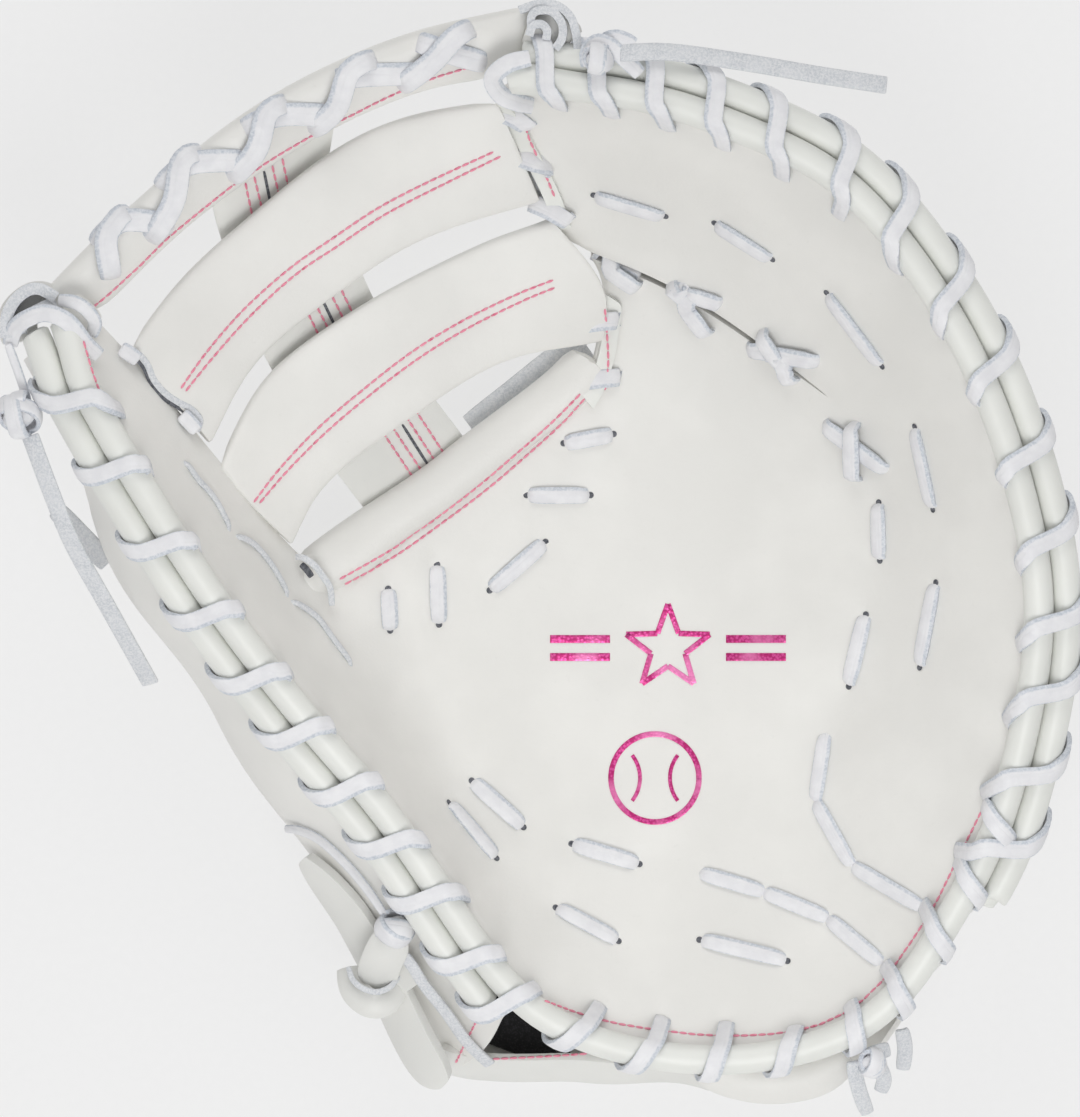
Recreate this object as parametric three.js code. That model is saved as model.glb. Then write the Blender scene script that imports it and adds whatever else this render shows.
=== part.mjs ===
// First baseman mitt, worn on the left hand, lying on its back with the pocket up.
// Millimetres, +Z up. The origin is at the middle of the bottom of the mitt's box.
import * as THREE from 'three';

// Driving dimensions of the outline
const HALF_WIDTH = 161.5; // from the middle to the left or right end of the outline
const HALF_LENGTH = 167; // from the middle to the heel or to the top of the web
const RIM_HEIGHT = 100; // highest point of the rolled rim over the surface it lies on

// Driving dimensions of the leather
const LEATHER = 2.4; // one panel
const PADDING = 9; // felt behind the heel, the thumb and the fingers
const POCKET_DIP = 12; // how far the pocket sags between rim and web
const BACK_BULGE = 16; // how far the back leather swells past the rim
const SLIT_STEP = 3.2; // the finger panel stands over the palm along the slit
const SLIT_GAP = 1.6; // width of the slit
const WRIST_FLARE = 12; // how far the back leather stands out at its foot beside the wrist
const CLEARANCE = 0.35; // between pieces that touch

// Driving dimensions of the rolled seams, laces and web
const WELT_RADIUS = 4.4;
const LACE_WIDTH = 5.2;
const LACE_THICKNESS = 1.3;
const LACE_PITCH = 21.5; // between holes along the rim
const BAR_THICKNESS = 5.5;
const TOP_BAR_THICKNESS = 9;
const STRAP_WIDTH = 37;
const STRAP_THICKNESS = 2.6;
const STRAP_GAP = 2.2; // between the strap and the bars in front of it
const BAR_GAP = 0.6; // more room at the ends of the bars
const PALM_ROLL_WIDTH = 12;
const PALM_ROLL_HEIGHT = 7;
const BINDING_WIDTH = 6;
const BINDING_THICKNESS = 1.6;
const TOGGLE_WIDTH = 17;
const TOGGLE_THICKNESS = 3;
const LINING_THICKNESS = 1;
const KNOT_RADIUS = 6.5;

// Materials
const leather = new THREE.MeshStandardMaterial({ color: 0xebebe8, roughness: 0.55, metalness: 0 });
const rolled = new THREE.MeshStandardMaterial({ color: 0xe9ece4, roughness: 0.5, metalness: 0 });
const laces = new THREE.MeshStandardMaterial({ color: 0xe4e6ea, roughness: 0.75, metalness: 0 });
const lining = new THREE.MeshStandardMaterial({ color: 0x1e1e20, roughness: 0.9, metalness: 0 });

// The front leather, a row for each section from the thumb tip round the heel to the finger tip.
// rim and edge are the two ends of a section: X in half widths, Y in half lengths, Z in rim heights.
// pad is a share of PADDING, dip of POCKET_DIP, steep bends the slope, bulge is a share of BACK_BULGE,
// under is the height of the back leather in rim heights, and foot and back are how far it has run
// flat and where it ends, as shares of the way from rim to edge.
const COLUMNS = ['rimX', 'rimY', 'rimZ', 'edgeX', 'edgeY', 'edgeZ',
  'pad', 'dip', 'steep', 'bulge', 'under', 'foot', 'back'];
const SECTIONS = [
  [-0.884, 0.391, 0.96, -0.820, 0.429, 0.84, 0.3, 0.0, 1.0, 0.1, 0.66, 0.40, 0.95],
  [-0.772, 0.193, 0.96, -0.703, 0.305, 0.73, 0.5, 0.0, 1.0, 0.1, 0.42, 0.40, 0.95],
  [-0.603, -0.068, 0.89, -0.549, 0.120, 0.56, 0.7, 0.1, 1.1, 0.4, 0.10, 0.40, 0.95],
  [-0.443, -0.274, 0.80, -0.448, 0.005, 0.44, 0.8, 0.2, 1.3, 1.1, 0.00, 0.30, 0.90],
  [-0.279, -0.464, 0.71, -0.355, -0.039, 0.41, 0.9, 0.5, 1.5, 1.25, 0.00, 0.28, 0.55],
  [-0.093, -0.730, 0.62, -0.299, 0.003, 0.40, 1.0, 0.8, 1.6, 1.5, 0.00, 0.12, 0.30],
  [0.000, -0.822, 0.59, -0.251, 0.037, 0.40, 1.0, 0.9, 1.6, 0.8, 0.00, 0.12, 0.25],
  [0.130, -0.877, 0.57, -0.202, 0.071, 0.40, 1.0, 1.0, 1.6, 0.1, 0.00, 0.12, 0.25],
  [0.279, -0.902, 0.56, -0.153, 0.106, 0.40, 1.0, 1.0, 1.6, 0.0, 0.00, 0.12, 0.25],
  [0.428, -0.896, 0.57, -0.107, 0.142, 0.40, 1.0, 1.0, 1.6, 0.4, 0.00, 0.12, 0.30],
  [0.567, -0.858, 0.59, -0.056, 0.180, 0.40, 1.0, 1.0, 1.7, 0.4, 0.00, 0.16, 0.45],
  [0.668, -0.782, 0.62, -0.006, 0.218, 0.40, 1.0, 1.0, 1.8, 0.3, 0.00, 0.18, 0.62],
  [0.751, -0.657, 0.67, 0.047, 0.265, 0.41, 1.0, 1.0, 1.9, 0.3, 0.00, 0.22, 0.70],
  [0.850, -0.468, 0.74, 0.097, 0.341, 0.42, 1.0, 0.9, 2.1, 0.2, 0.00, 0.26, 0.76],
  [0.919, -0.145, 0.84, 0.116, 0.431, 0.44, 1.0, 0.8, 2.3, 0.1, 0.00, 0.30, 0.82],
  [0.886, 0.113, 0.90, 0.118, 0.493, 0.47, 1.0, 0.7, 2.2, 0.1, 0.06, 0.34, 0.90],
  [0.771, 0.397, 0.95, 0.088, 0.552, 0.52, 0.9, 0.5, 1.9, 0.1, 0.20, 0.38, 0.95],
  [0.577, 0.650, 0.99, 0.030, 0.585, 0.59, 0.8, 0.4, 1.5, 0.1, 0.36, 0.40, 0.95],
  [0.376, 0.759, 1.00, 0.004, 0.651, 0.67, 0.7, 0.3, 1.3, 0.1, 0.48, 0.40, 0.95],
  [0.174, 0.822, 0.99, -0.030, 0.739, 0.75, 0.5, 0.1, 1.1, 0.1, 0.58, 0.40, 0.95],
  [-0.037, 0.846, 0.95, -0.074, 0.821, 0.83, 0.3, 0.0, 1.0, 0.1, 0.66, 0.40, 0.95],
];
const THUMB_END = 5.3; // the section where the thumb's back leather ends at the wrist
const FINGER_START = 8.3; // the section where the fingers' back leather starts
const FINGER_SEAM = 11.9; // the section from which it is sewn to the rim
const WRIST_OPEN = 0.42; // share of the back leather that is cut away at the wrist opening
const STRAP_FROM = 0.2; // the strap's two edges, as shares of the back leather
const STRAP_TO = 0.86;
const LINING_FROM = 0.5; // the lining's two edges, as shares of the back leather
const LINING_TO = 0.95;
const PALM_ROLL_FROM = 3.9; // the sections between which the palm's edge is rolled
const PALM_ROLL_TO = 12.3;
const STRAP_FOOT_SECTION = 7.4; // the section behind which the web's strap ends
const STRAP_CROSSING = { top: 0.5, bar2: 0.43, bar3: 0.42 }; // where it passes the bars, along them
const SLIT_SECTION = 15; // the section at which the slit starts
const SLIT_SLANT = 0.9; // sections that it has crossed when it reaches the inner edge
const SLANT_FROM = 0.26; // share of the front leather where the slit starts to slant
const SLANT_BEFORE = 4; // sections over which the slant grows and fades beside the slit
const SLANT_AFTER = 2.2;
const SLIT_FROM = 0.42; // share of the way from rim to edge where the slit opens

// A value of the table at a place between its rows, on a smooth curve through them
function column(name, section) {
  const index = COLUMNS.indexOf(name);
  const last = SECTIONS.length - 1;
  const row = Math.min(Math.floor(section), last - 1);
  const t = section - row;
  const value = (r) => SECTIONS[Math.max(0, Math.min(last, r))][index];
  const before = value(row - 1);
  const from = value(row);
  const to = value(row + 1);
  const after = value(row + 2);
  const slopeFrom = (to - before) / 2;
  const slopeTo = (after - from) / 2;
  const t2 = t * t;
  const t3 = t2 * t;
  return (2 * t3 - 3 * t2 + 1) * from + (t3 - 2 * t2 + t) * slopeFrom
    + (3 * t2 - 2 * t3) * to + (t3 - t2) * slopeTo;
}

const place = (x, y, z) => new THREE.Vector3(x * HALF_WIDTH, y * HALF_LENGTH, z * RIM_HEIGHT);
const rimAt = (s) => place(column('rimX', s), column('rimY', s), column('rimZ', s));
const edgeAt = (s) => place(column('edgeX', s), column('edgeY', s), column('edgeZ', s));

// The rim's own directions: along it, outwards and level, and up
function rimFrame(section) {
  const step = 0.02;
  const last = SECTIONS.length - 1;
  const ahead = rimAt(Math.min(last, section + step));
  const along = ahead.sub(rimAt(Math.max(0, section - step))).normalize();
  const out = new THREE.Vector3().crossVectors(along, new THREE.Vector3(0, 0, 1)).normalize();
  const up = new THREE.Vector3().crossVectors(out, along).normalize();
  return { centre: rimAt(section), along, out, up };
}

function besideRim(section, outwards, upwards) {
  const { centre, out, up } = rimFrame(section);
  return centre.addScaledVector(out, outwards).addScaledVector(up, upwards);
}

// The second roll lies outside the first and a little lower
const ROLL_ANGLE = -0.38;
const ROLL_SPACING = 2 * WELT_RADIUS + CLEARANCE;
const BACK_ROLL = {
  out: ROLL_SPACING * Math.cos(ROLL_ANGLE),
  up: ROLL_SPACING * Math.sin(ROLL_ANGLE),
};
// The leather starts past the lace that runs down beside each roll
const LOOP_CORNERS = 4; // bends of a lace round half of a roll
const LOOP_SLACK = 0.25; // a lace doesn't lie hard on the roll
const LACE_REACH = (WELT_RADIUS + CLEARANCE + LOOP_SLACK + LACE_THICKNESS / 2)
  / Math.cos(Math.PI / LOOP_CORNERS / 2);
const SEAM_REACH = LACE_REACH + LACE_THICKNESS / 2 + CLEARANCE + LEATHER * 0.22;
const SEAM_ANGLE = 0.75;
const FRONT_SEAM = { out: -SEAM_REACH * Math.cos(SEAM_ANGLE), up: -SEAM_REACH * Math.sin(SEAM_ANGLE) };
const BACK_SEAM = {
  out: BACK_ROLL.out + SEAM_REACH * Math.cos(SEAM_ANGLE * 1.5),
  up: BACK_ROLL.up - SEAM_REACH * Math.sin(SEAM_ANGLE * 1.5),
};

const smooth = (from, to, x) => THREE.MathUtils.smoothstep(x, from, to);
const mix = THREE.MathUtils.lerp;

// Outer face of the front leather, share 0 at the rim and 1 at the inner edge
function frontFace(section, share) {
  const seam = besideRim(section, FRONT_SEAM.out, FRONT_SEAM.up);
  const edge = edgeAt(section);
  const point = seam.clone().lerp(edge, share);
  const slope = (1 - share) ** column('steep', section);
  const sag = column('dip', section) * POCKET_DIP * 4 * share * (1 - share);
  point.z = mix(edge.z, seam.z, slope) - sag;
  return point;
}

const FLARE_STARTS = [4.4, 5.4];
const FLARE_ENDS = [9, 10.6];
const wristFlare = (section) => WRIST_FLARE * smooth(...FLARE_STARTS, section)
  * (1 - smooth(...FLARE_ENDS, section));

// Outer face of the back leather, share 0 at the rim and 1 at the end under the hand
function backFace(section, share) {
  const seam = besideRim(section, BACK_SEAM.out, BACK_SEAM.up);
  const { centre, out } = rimFrame(section);
  const edge = edgeAt(section);
  const floor = Math.max(0, column('under', section)) * RIM_HEIGHT;
  const bulge = column('bulge', section) * BACK_BULGE;
  const outside = (reach, height) => {
    const point = centre.clone().addScaledVector(out, reach);
    point.z = mix(floor, seam.z, height);
    return point;
  };
  const inside = (way, height) => {
    const point = centre.clone().lerp(edge, way);
    point.z = height;
    return point;
  };
  const foot = column('foot', section);
  const end = column('back', section);
  const edgeHeight = edge.z - LEATHER * 3 - column('pad', section) * PADDING * 0.4;
  const closing = smooth(0.7, 0.95, end);
  const endHeight = mix(floor, edgeHeight, closing);
  const points = [
    seam,
    outside(BACK_SEAM.out + bulge * 0.8, 0.62),
    outside(BACK_SEAM.out * 0.7 + bulge * 0.8 + wristFlare(section), 0.26),
    inside(foot * 0.45, floor),
    inside(mix(foot, end, 0.5), floor),
    inside(end, endHeight),
  ];
  const point = new THREE.CatmullRomCurve3(points, false, 'centripetal').getPoint(share);
  point.z = Math.max(point.z, floor);
  return point;
}

// Unit normal of a face, from its neighbours, pointing out of the pocket side when side is 1
function normalOf(face, section, share, side) {
  const step = 0.02;
  const last = SECTIONS.length - 1;
  const along = face(Math.min(last, section + step), share).sub(face(Math.max(0, section - step), share));
  const across = face(section, Math.min(1, share + step)).sub(face(section, Math.max(0, share - step)));
  return along.cross(across).normalize().multiplyScalar(side);
}

// Mesh building: triangles are collected in a list and turned so that they face outwards
class Skin {
  constructor() {
    this.corners = [];
  }

  triangle(a, b, c) {
    const tiny = 1e-4;
    if (a.distanceTo(b) < tiny || b.distanceTo(c) < tiny || a.distanceTo(c) < tiny) return;
    this.corners.push(a, b, c);
  }

  quad(a, b, c, d) {
    this.triangle(a, b, c);
    this.triangle(a, c, d);
  }

  // Two grids of points, of which each cell faces away from the other grid
  wall(outer, inner, openSide = {}) {
    const rows = outer.length - 1;
    const cells = outer[0].length - 1;
    for (let i = 0; i < rows; i++) {
      for (let j = 0; j < cells; j++) {
        this.quad(outer[i][j], outer[i + 1][j], outer[i + 1][j + 1], outer[i][j + 1]);
        this.quad(inner[i][j], inner[i][j + 1], inner[i + 1][j + 1], inner[i + 1][j]);
      }
      this.quad(outer[i][0], inner[i][0], inner[i + 1][0], outer[i + 1][0]);
      this.quad(outer[i][cells], outer[i + 1][cells], inner[i + 1][cells], inner[i][cells]);
    }
    const firstFrom = openSide.first ?? 0;
    const lastFrom = openSide.last ?? 0;
    for (let j = firstFrom; j < cells; j++) {
      this.quad(outer[0][j], outer[0][j + 1], inner[0][j + 1], inner[0][j]);
    }
    for (let j = lastFrom; j < cells; j++) {
      this.quad(outer[rows][j], inner[rows][j], inner[rows][j + 1], outer[rows][j + 1]);
    }
  }

  // Rings of points joined one to the next and closed at both ends
  loft(rings) {
    const count = rings[0].length;
    for (let i = 0; i < rings.length - 1; i++) {
      for (let j = 0; j < count; j++) {
        const next = (j + 1) % count;
        this.quad(rings[i][j], rings[i][next], rings[i + 1][next], rings[i + 1][j]);
      }
    }
    const end = rings[rings.length - 1];
    for (let j = 1; j < count - 1; j++) {
      this.triangle(rings[0][0], rings[0][j + 1], rings[0][j]);
      this.triangle(end[0], end[j], end[j + 1]);
    }
  }

  geometry() {
    let volume = 0;
    for (let i = 0; i < this.corners.length; i += 3) {
      const [a, b, c] = this.corners.slice(i, i + 3);
      volume += a.dot(new THREE.Vector3().crossVectors(b, c));
    }
    const order = volume < 0 ? [0, 2, 1] : [0, 1, 2];
    const numbers = [];
    for (let i = 0; i < this.corners.length; i += 3) {
      for (const k of order) numbers.push(...this.corners[i + k].toArray());
    }
    const geometry = new THREE.BufferGeometry();
    geometry.setAttribute('position', new THREE.Float32BufferAttribute(numbers, 3));
    geometry.computeVertexNormals();
    return geometry;
  }
}

const mitt = new THREE.Group();

function add(name, geometry, material) {
  const mesh = new THREE.Mesh(geometry, material);
  mesh.name = name;
  mitt.add(mesh);
  return mesh;
}

const between = (from, to, steps) => Array.from({ length: steps + 1 }, (_, i) => mix(from, to, i / steps));

// A leather panel over part of a face, as a closed wall below or above it
function panelGrids(face, sections, shares, side, thickness, lift = () => 0) {
  const outer = [];
  const inner = [];
  for (const section of sections) {
    const outerRow = [];
    const innerRow = [];
    for (const share of shares) {
      const normal = normalOf(face, section, share, side);
      const point = face(section, share);
      point.z += lift(section, share);
      outerRow.push(point);
      innerRow.push(point.clone().addScaledVector(normal, -thickness(section, share)));
    }
    outer.push(outerRow);
    inner.push(innerRow);
  }
  return { outer, inner };
}

const FRONT_SIDE = 1;
const BACK_SIDE = -1;

// Thickness of the padded front: thin at the seam and in the pocket, full a little inside the rim
function frontThickness(section, share) {
  const swell = smooth(0, 0.16, share) * (1 - smooth(0.35, 0.75, share));
  return LEATHER + column('pad', section) * PADDING * swell + PADDING * 0.15 * smooth(0, 0.3, share);
}

const slitLift = (share) => SLIT_STEP * smooth(SLIT_FROM, 0.75, share);

function frontShell() {
  const skin = new Skin();
  const shares = [0, 0.05, 0.12, 0.22, 0.32, SLIT_FROM, 0.56, 0.7, 0.84, 1];
  const slitRow = shares.indexOf(SLIT_FROM);
  // Sections lean beside the slit, which crosses some of them on its way to the inner edge
  const nearSlit = (section) => smooth(SLIT_SECTION - SLANT_BEFORE, SLIT_SECTION, section)
    * (1 - smooth(SLIT_SECTION, SLIT_SECTION + SLANT_AFTER, section));
  const slant = (section, share) => SLIT_SLANT * smooth(SLANT_FROM, 1, share) * nearSlit(section);
  const face = (section, share) => frontFace(section + slant(section, share), share);
  const palm = panelGrids(face, between(0, SLIT_SECTION, 40), shares, FRONT_SIDE, frontThickness);
  const fade = (section) => 1 - smooth(SLIT_SECTION, SLIT_SECTION + 2.5, section);
  const lift = (section, share) => slitLift(share) * fade(section);
  const fingers = panelGrids(face, between(SLIT_SECTION, SECTIONS.length - 1, 16), shares,
    FRONT_SIDE, frontThickness, lift);
  // The slit is opened by moving the two sides apart along the palm
  const apart = (grids, row, direction) => {
    for (const grid of [grids.outer, grids.inner]) {
      grid[row].forEach((point, j) => {
        const open = SLIT_GAP / 2 * smooth(SLIT_FROM, 0.6, shares[j]);
        const { along } = rimFrame(SLIT_SECTION);
        point.addScaledVector(along, direction * open);
      });
    }
  };
  apart(palm, palm.outer.length - 1, -1);
  apart(fingers, 0, 1);
  skin.wall(palm.outer, palm.inner, { last: slitRow });
  skin.wall(fingers.outer, fingers.inner, { first: slitRow });
  return skin.geometry();
}

add('front_shell', frontShell(), leather);

// Back leather, which starts at the rim or, beside the wrist opening, further down
function backPanel(from, to, steps, cutAway) {
  const skin = new Skin();
  const shares = [0, 0.1, 0.22, 0.36, 0.5, 0.64, 0.82, 1];
  const trimmed = (section, share) => backFace(section, mix(cutAway(section), 1, share));
  const grids = panelGrids(trimmed, between(from, to, steps), shares, BACK_SIDE, () => LEATHER);
  skin.wall(grids.outer, grids.inner);
  return skin.geometry();
}

const wristCut = (section) => WRIST_OPEN * (1 - smooth(FINGER_SEAM - 1.6, FINGER_SEAM, section));
add('thumb_back', backPanel(0, THUMB_END, 18, () => 0), leather);
add('finger_back', backPanel(FINGER_START, SECTIONS.length - 1, 36, wristCut), leather);

// The band across the wrist and the lining inside it follow the back leather round the heel
function wristBand(from, to, shareFrom, shareTo, inset, thickness) {
  const skin = new Skin();
  const face = (section, share) => backFace(section, share)
    .addScaledVector(normalOf(backFace, section, share, BACK_SIDE), -inset);
  const grids = panelGrids(face, between(from, to, 9), between(shareFrom, shareTo, 9), BACK_SIDE,
    () => thickness);
  skin.wall(grids.outer, grids.inner);
  return skin.geometry();
}

const thumbGap = 0.07; // shares of a section that part the strap from the leather beside it
const fingerGap = 0.025;
add('wrist_strap', wristBand(THUMB_END + thumbGap, FINGER_START - fingerGap, STRAP_FROM, STRAP_TO, 0,
  LEATHER), leather);
add('hand_lining', wristBand(THUMB_END + thumbGap, FINGER_START - fingerGap, LINING_FROM, LINING_TO,
  LEATHER + 2 * CLEARANCE, LINING_THICKNESS), lining);

// Rolled seams along the rim
function rollAlong(points, radius, sides = 8) {
  const curve = new THREE.CatmullRomCurve3(points, false, 'centripetal');
  const shape = new THREE.Shape(between(0, 1, sides).slice(0, sides)
    .map((t) => new THREE.Vector2(radius * Math.cos(2 * Math.PI * t), radius * Math.sin(2 * Math.PI * t))));
  const steps = Math.round(curve.getLength() / (3 * radius));
  return new THREE.ExtrudeGeometry(shape, { steps, bevelEnabled: false, extrudePath: curve });
}

function welt(from, to, roll) {
  const sections = between(from, to, Math.round((to - from) * 3));
  return rollAlong(sections.map((s) => besideRim(s, roll.out, roll.up)), WELT_RADIUS);
}

const last = SECTIONS.length - 1;
add('front_welt', welt(0, last, { out: 0, up: 0 }), rolled);
add('back_welt_thumb', welt(0, THUMB_END, BACK_ROLL), rolled);
add('back_welt_fingers', welt(FINGER_SEAM, last, BACK_ROLL), rolled);

const SQUARE_EDGE = [[-1, -1], [1, -1], [1, 1], [-1, 1]];
const mirrored = (half) => [...half, ...half.map(([a, b]) => [a, -b]).reverse()];
const ROUND_EDGE = mirrored([[-1, -0.4], [-0.86, -1], [0.86, -1], [1, -0.4]]);

// A flat lace or band along points, each with the direction across its width
function band(points, across, width, thickness, outline = ROUND_EDGE) {
  const skin = new Skin();
  const section = outline.map(([a, b]) => [a * width / 2, b * thickness / 2]);
  skin.loft(points.map((point, i) => {
    const before = points[Math.max(0, i - 1)];
    const after = points[Math.min(points.length - 1, i + 1)];
    const along = after.clone().sub(before).normalize();
    const side = across(i).clone();
    side.addScaledVector(along, -side.dot(along)).normalize();
    const normal = new THREE.Vector3().crossVectors(along, side);
    return section.map(([a, b]) => point.clone().addScaledVector(side, a).addScaledVector(normal, b));
  }));
  return skin.geometry();
}

// A lace that winds round the rolls of the rim, one turn for each pair of holes
function edgeLace(from, to, spread) {
  const length = (a, b) => rimAt(a).distanceTo(rimAt(b));
  const fine = between(from, to, 60);
  let total = 0;
  for (let i = 0; i < fine.length - 1; i++) total += length(fine[i], fine[i + 1]);
  const turns = Math.round(total / LACE_PITCH);
  const sectionAt = (way) => {
    let left = way * total;
    for (let i = 0; i < fine.length - 1; i++) {
      const step = length(fine[i], fine[i + 1]);
      if (left <= step) return mix(fine[i], fine[i + 1], left / step);
      left -= step;
    }
    return to;
  };
  // The loop's outline round the rolls, as an angle and the roll that it passes round
  const loop = [];
  const nearRoll = { out: 0, up: 0 };
  const farRoll = spread ? BACK_ROLL : nearRoll;
  const side = Math.PI + ROLL_ANGLE;
  const bends = between(-0.5, 0.5, LOOP_CORNERS);
  for (const turn of bends) {
    loop.push([nearRoll, side - turn * Math.PI]);
  }
  for (const turn of bends) {
    loop.push([farRoll, ROLL_ANGLE - turn * Math.PI]);
  }
  const slant = [-0.3, -0.2, -0.15, -0.1, -0.05, 0.05, 0.1, 0.15, 0.2, 0.3];
  const points = [];
  const directions = [];
  for (let turn = 0; turn < turns; turn++) {
    loop.forEach(([roll, angle], i) => {
      const section = sectionAt((turn + 0.5 + slant[i]) / turns);
      points.push(besideRim(section, roll.out + LACE_REACH * Math.cos(angle),
        roll.up + LACE_REACH * Math.sin(angle)));
      directions.push(rimFrame(section).along);
    });
  }
  return band(points, (i) => directions[i], LACE_WIDTH, LACE_THICKNESS, SQUARE_EDGE);
}

add('edge_lace_thumb', edgeLace(0.25, THUMB_END - 0.1, true), laces);
add('edge_lace_heel', edgeLace(THUMB_END + 0.15, FINGER_SEAM - 0.15, false), laces);
add('edge_lace_fingers', edgeLace(FINGER_SEAM + 0.1, last - 0.2, true), laces);

// The web's folded bars. Each has its two ends on the leather beside the web, as places in the table
// above, and rows between them for its upper and its lower edge, in the same shares as the rim.
const BAR_COLUMNS = ['upperX', 'upperY', 'upperZ', 'lowerX', 'lowerY', 'lowerZ'];
const WEB_BARS = {
  web_bar_2: {
    thumbEnds: [0.55, 1.55],
    fingerEnds: [19.95, 17.9],
    rows: [
      [-0.646, 0.547, 0.77, -0.523, 0.365, 0.64],
      [-0.461, 0.690, 0.80, -0.371, 0.485, 0.67],
      [-0.258, 0.786, 0.80, -0.204, 0.578, 0.68],
    ],
  },
  web_bar_3: {
    thumbEnds: [1.72, 2.8],
    fingerEnds: [17.5, 13.6],
    rows: [
      [-0.516, 0.320, 0.62, -0.401, 0.133, 0.49],
      [-0.352, 0.442, 0.64, -0.242, 0.253, 0.50],
      [-0.167, 0.539, 0.62, -0.075, 0.354, 0.48],
    ],
  },
};
const TOP_BAR_ROWS = [
  [-0.953, 0.433, 0.87, -0.816, 0.434, 0.83],
  [-0.781, 0.598, 0.90, -0.636, 0.603, 0.83],
  [-0.524, 0.803, 0.91, -0.409, 0.751, 0.84],
  [-0.257, 0.927, 0.91, -0.221, 0.831, 0.84],
  [0.002, 0.988, 0.89, -0.084, 0.856, 0.86],
];

// A point beside the inner edge, away from the leather, and level with it
function besideEdge(section, gap) {
  const step = 0.05;
  const along = edgeAt(Math.min(last, section + step)).sub(edgeAt(Math.max(0, section - step)));
  const away = new THREE.Vector3(0, 0, 1).cross(along).normalize();
  return edgeAt(section).addScaledVector(away, gap);
}

const curveThrough = (points) => new THREE.CatmullRomCurve3(points, false, 'centripetal');

function barGuides(rows, ends) {
  const cell = (row, name) => row[BAR_COLUMNS.indexOf(name)];
  const upper = rows.map((row) => place(cell(row, 'upperX'), cell(row, 'upperY'), cell(row, 'upperZ')));
  const lower = rows.map((row) => place(cell(row, 'lowerX'), cell(row, 'lowerY'), cell(row, 'lowerZ')));
  if (ends) {
    const gap = CLEARANCE + BAR_GAP;
    upper.unshift(besideEdge(ends.thumbEnds[0], gap));
    lower.unshift(besideEdge(ends.thumbEnds[1], gap));
    upper.push(besideEdge(ends.fingerEnds[0], gap));
    lower.push(besideEdge(ends.fingerEnds[1], gap));
  }
  return { upper: curveThrough(upper), lower: curveThrough(lower) };
}

// Middle, direction and upward normal of a bar at a share of its length
function barFrame(guides, share) {
  const upper = guides.upper.getPoint(share);
  const lower = guides.lower.getPoint(share);
  const centre = upper.clone().lerp(lower, 0.5);
  const across = lower.clone().sub(upper);
  const step = 0.02;
  const ahead = Math.min(1, share + step);
  const behind = Math.max(0, share - step);
  const along = guides.upper.getPoint(ahead).add(guides.lower.getPoint(ahead))
    .sub(guides.upper.getPoint(behind)).sub(guides.lower.getPoint(behind)).normalize();
  const normal = new THREE.Vector3().crossVectors(across, along).normalize();
  if (normal.z < 0) normal.negate();
  return { centre, across, along, normal };
}

function webBar(guides, thickness, outline, steps) {
  const skin = new Skin();
  skin.loft(between(0, 1, steps).map((share) => {
    const { centre, across, normal } = barFrame(guides, share);
    return outline.map(([a, b]) => centre.clone().addScaledVector(across, a / 2)
      .addScaledVector(normal, b * thickness / 2));
  }));
  return skin.geometry();
}

const FOLDED_EDGE = mirrored([[-1, -0.5], [-0.9, -1], [0.9, -1], [1, -0.5]]);
const ROLL_AND_FLANGE = mirrored([[-1, -0.5], [-0.7, -1], [-0.2, -1], [1, -0.35]]);
const topGuides = barGuides(TOP_BAR_ROWS);
add('web_top_bar', webBar(topGuides, TOP_BAR_THICKNESS, ROLL_AND_FLANGE, 14), leather);
const barGuidesByName = {};
for (const [name, bar] of Object.entries(WEB_BARS)) {
  barGuidesByName[name] = barGuides(bar.rows, bar);
  add(name, webBar(barGuidesByName[name], BAR_THICKNESS, FOLDED_EDGE, 12), leather);
}

// The rolled edge of the palm, beside the inner edge of the front leather
function palmRoll() {
  const skin = new Skin();
  const sides = 8;
  const gap = 2 * CLEARANCE + PALM_ROLL_WIDTH / 2;
  skin.loft(between(PALM_ROLL_FROM, PALM_ROLL_TO, 12).map((section) => {
    const centre = besideEdge(section, gap);
    const out = centre.clone().sub(edgeAt(section)).normalize();
    centre.z -= LEATHER / 2;
    return between(0, 1, sides).slice(0, sides).map((t) => {
      const angle = 2 * Math.PI * t;
      const point = centre.clone().addScaledVector(out, PALM_ROLL_WIDTH / 2 * Math.cos(angle));
      point.z += PALM_ROLL_HEIGHT / 2 * Math.sin(angle);
      return point;
    });
  }));
  return skin.geometry();
}

add('palm_top_roll', palmRoll(), leather);

// The upright strap lies behind the bars, on the side away from the pocket
function webStrap() {
  const drop = (thickness) => (thickness + STRAP_THICKNESS) / 2 + STRAP_GAP;
  const under = (guides, share, thickness) => {
    const { centre, normal } = barFrame(guides, share);
    return centre.addScaledVector(normal, -drop(thickness));
  };
  const palmEnd = besideEdge(STRAP_FOOT_SECTION, CLEARANCE + PALM_ROLL_WIDTH / 2);
  palmEnd.z -= drop(PALM_ROLL_HEIGHT) + LEATHER / 2;
  const anchors = [
    under(topGuides, STRAP_CROSSING.top, TOP_BAR_THICKNESS),
    under(barGuidesByName.web_bar_2, STRAP_CROSSING.bar2, BAR_THICKNESS),
    under(barGuidesByName.web_bar_3, STRAP_CROSSING.bar3, BAR_THICKNESS),
    palmEnd,
  ];
  const steps = 12;
  const points = curveThrough(anchors).getPoints(steps);
  const topAcross = barFrame(topGuides, STRAP_CROSSING.top).along;
  const palmAcross = edgeAt(STRAP_FOOT_SECTION + 1).sub(edgeAt(STRAP_FOOT_SECTION - 1)).normalize();
  const across = (i) => topAcross.clone().lerp(palmAcross, i / steps);
  return band(points, across, STRAP_WIDTH, STRAP_THICKNESS);
}

add('web_strap', webStrap(), leather);

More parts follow.
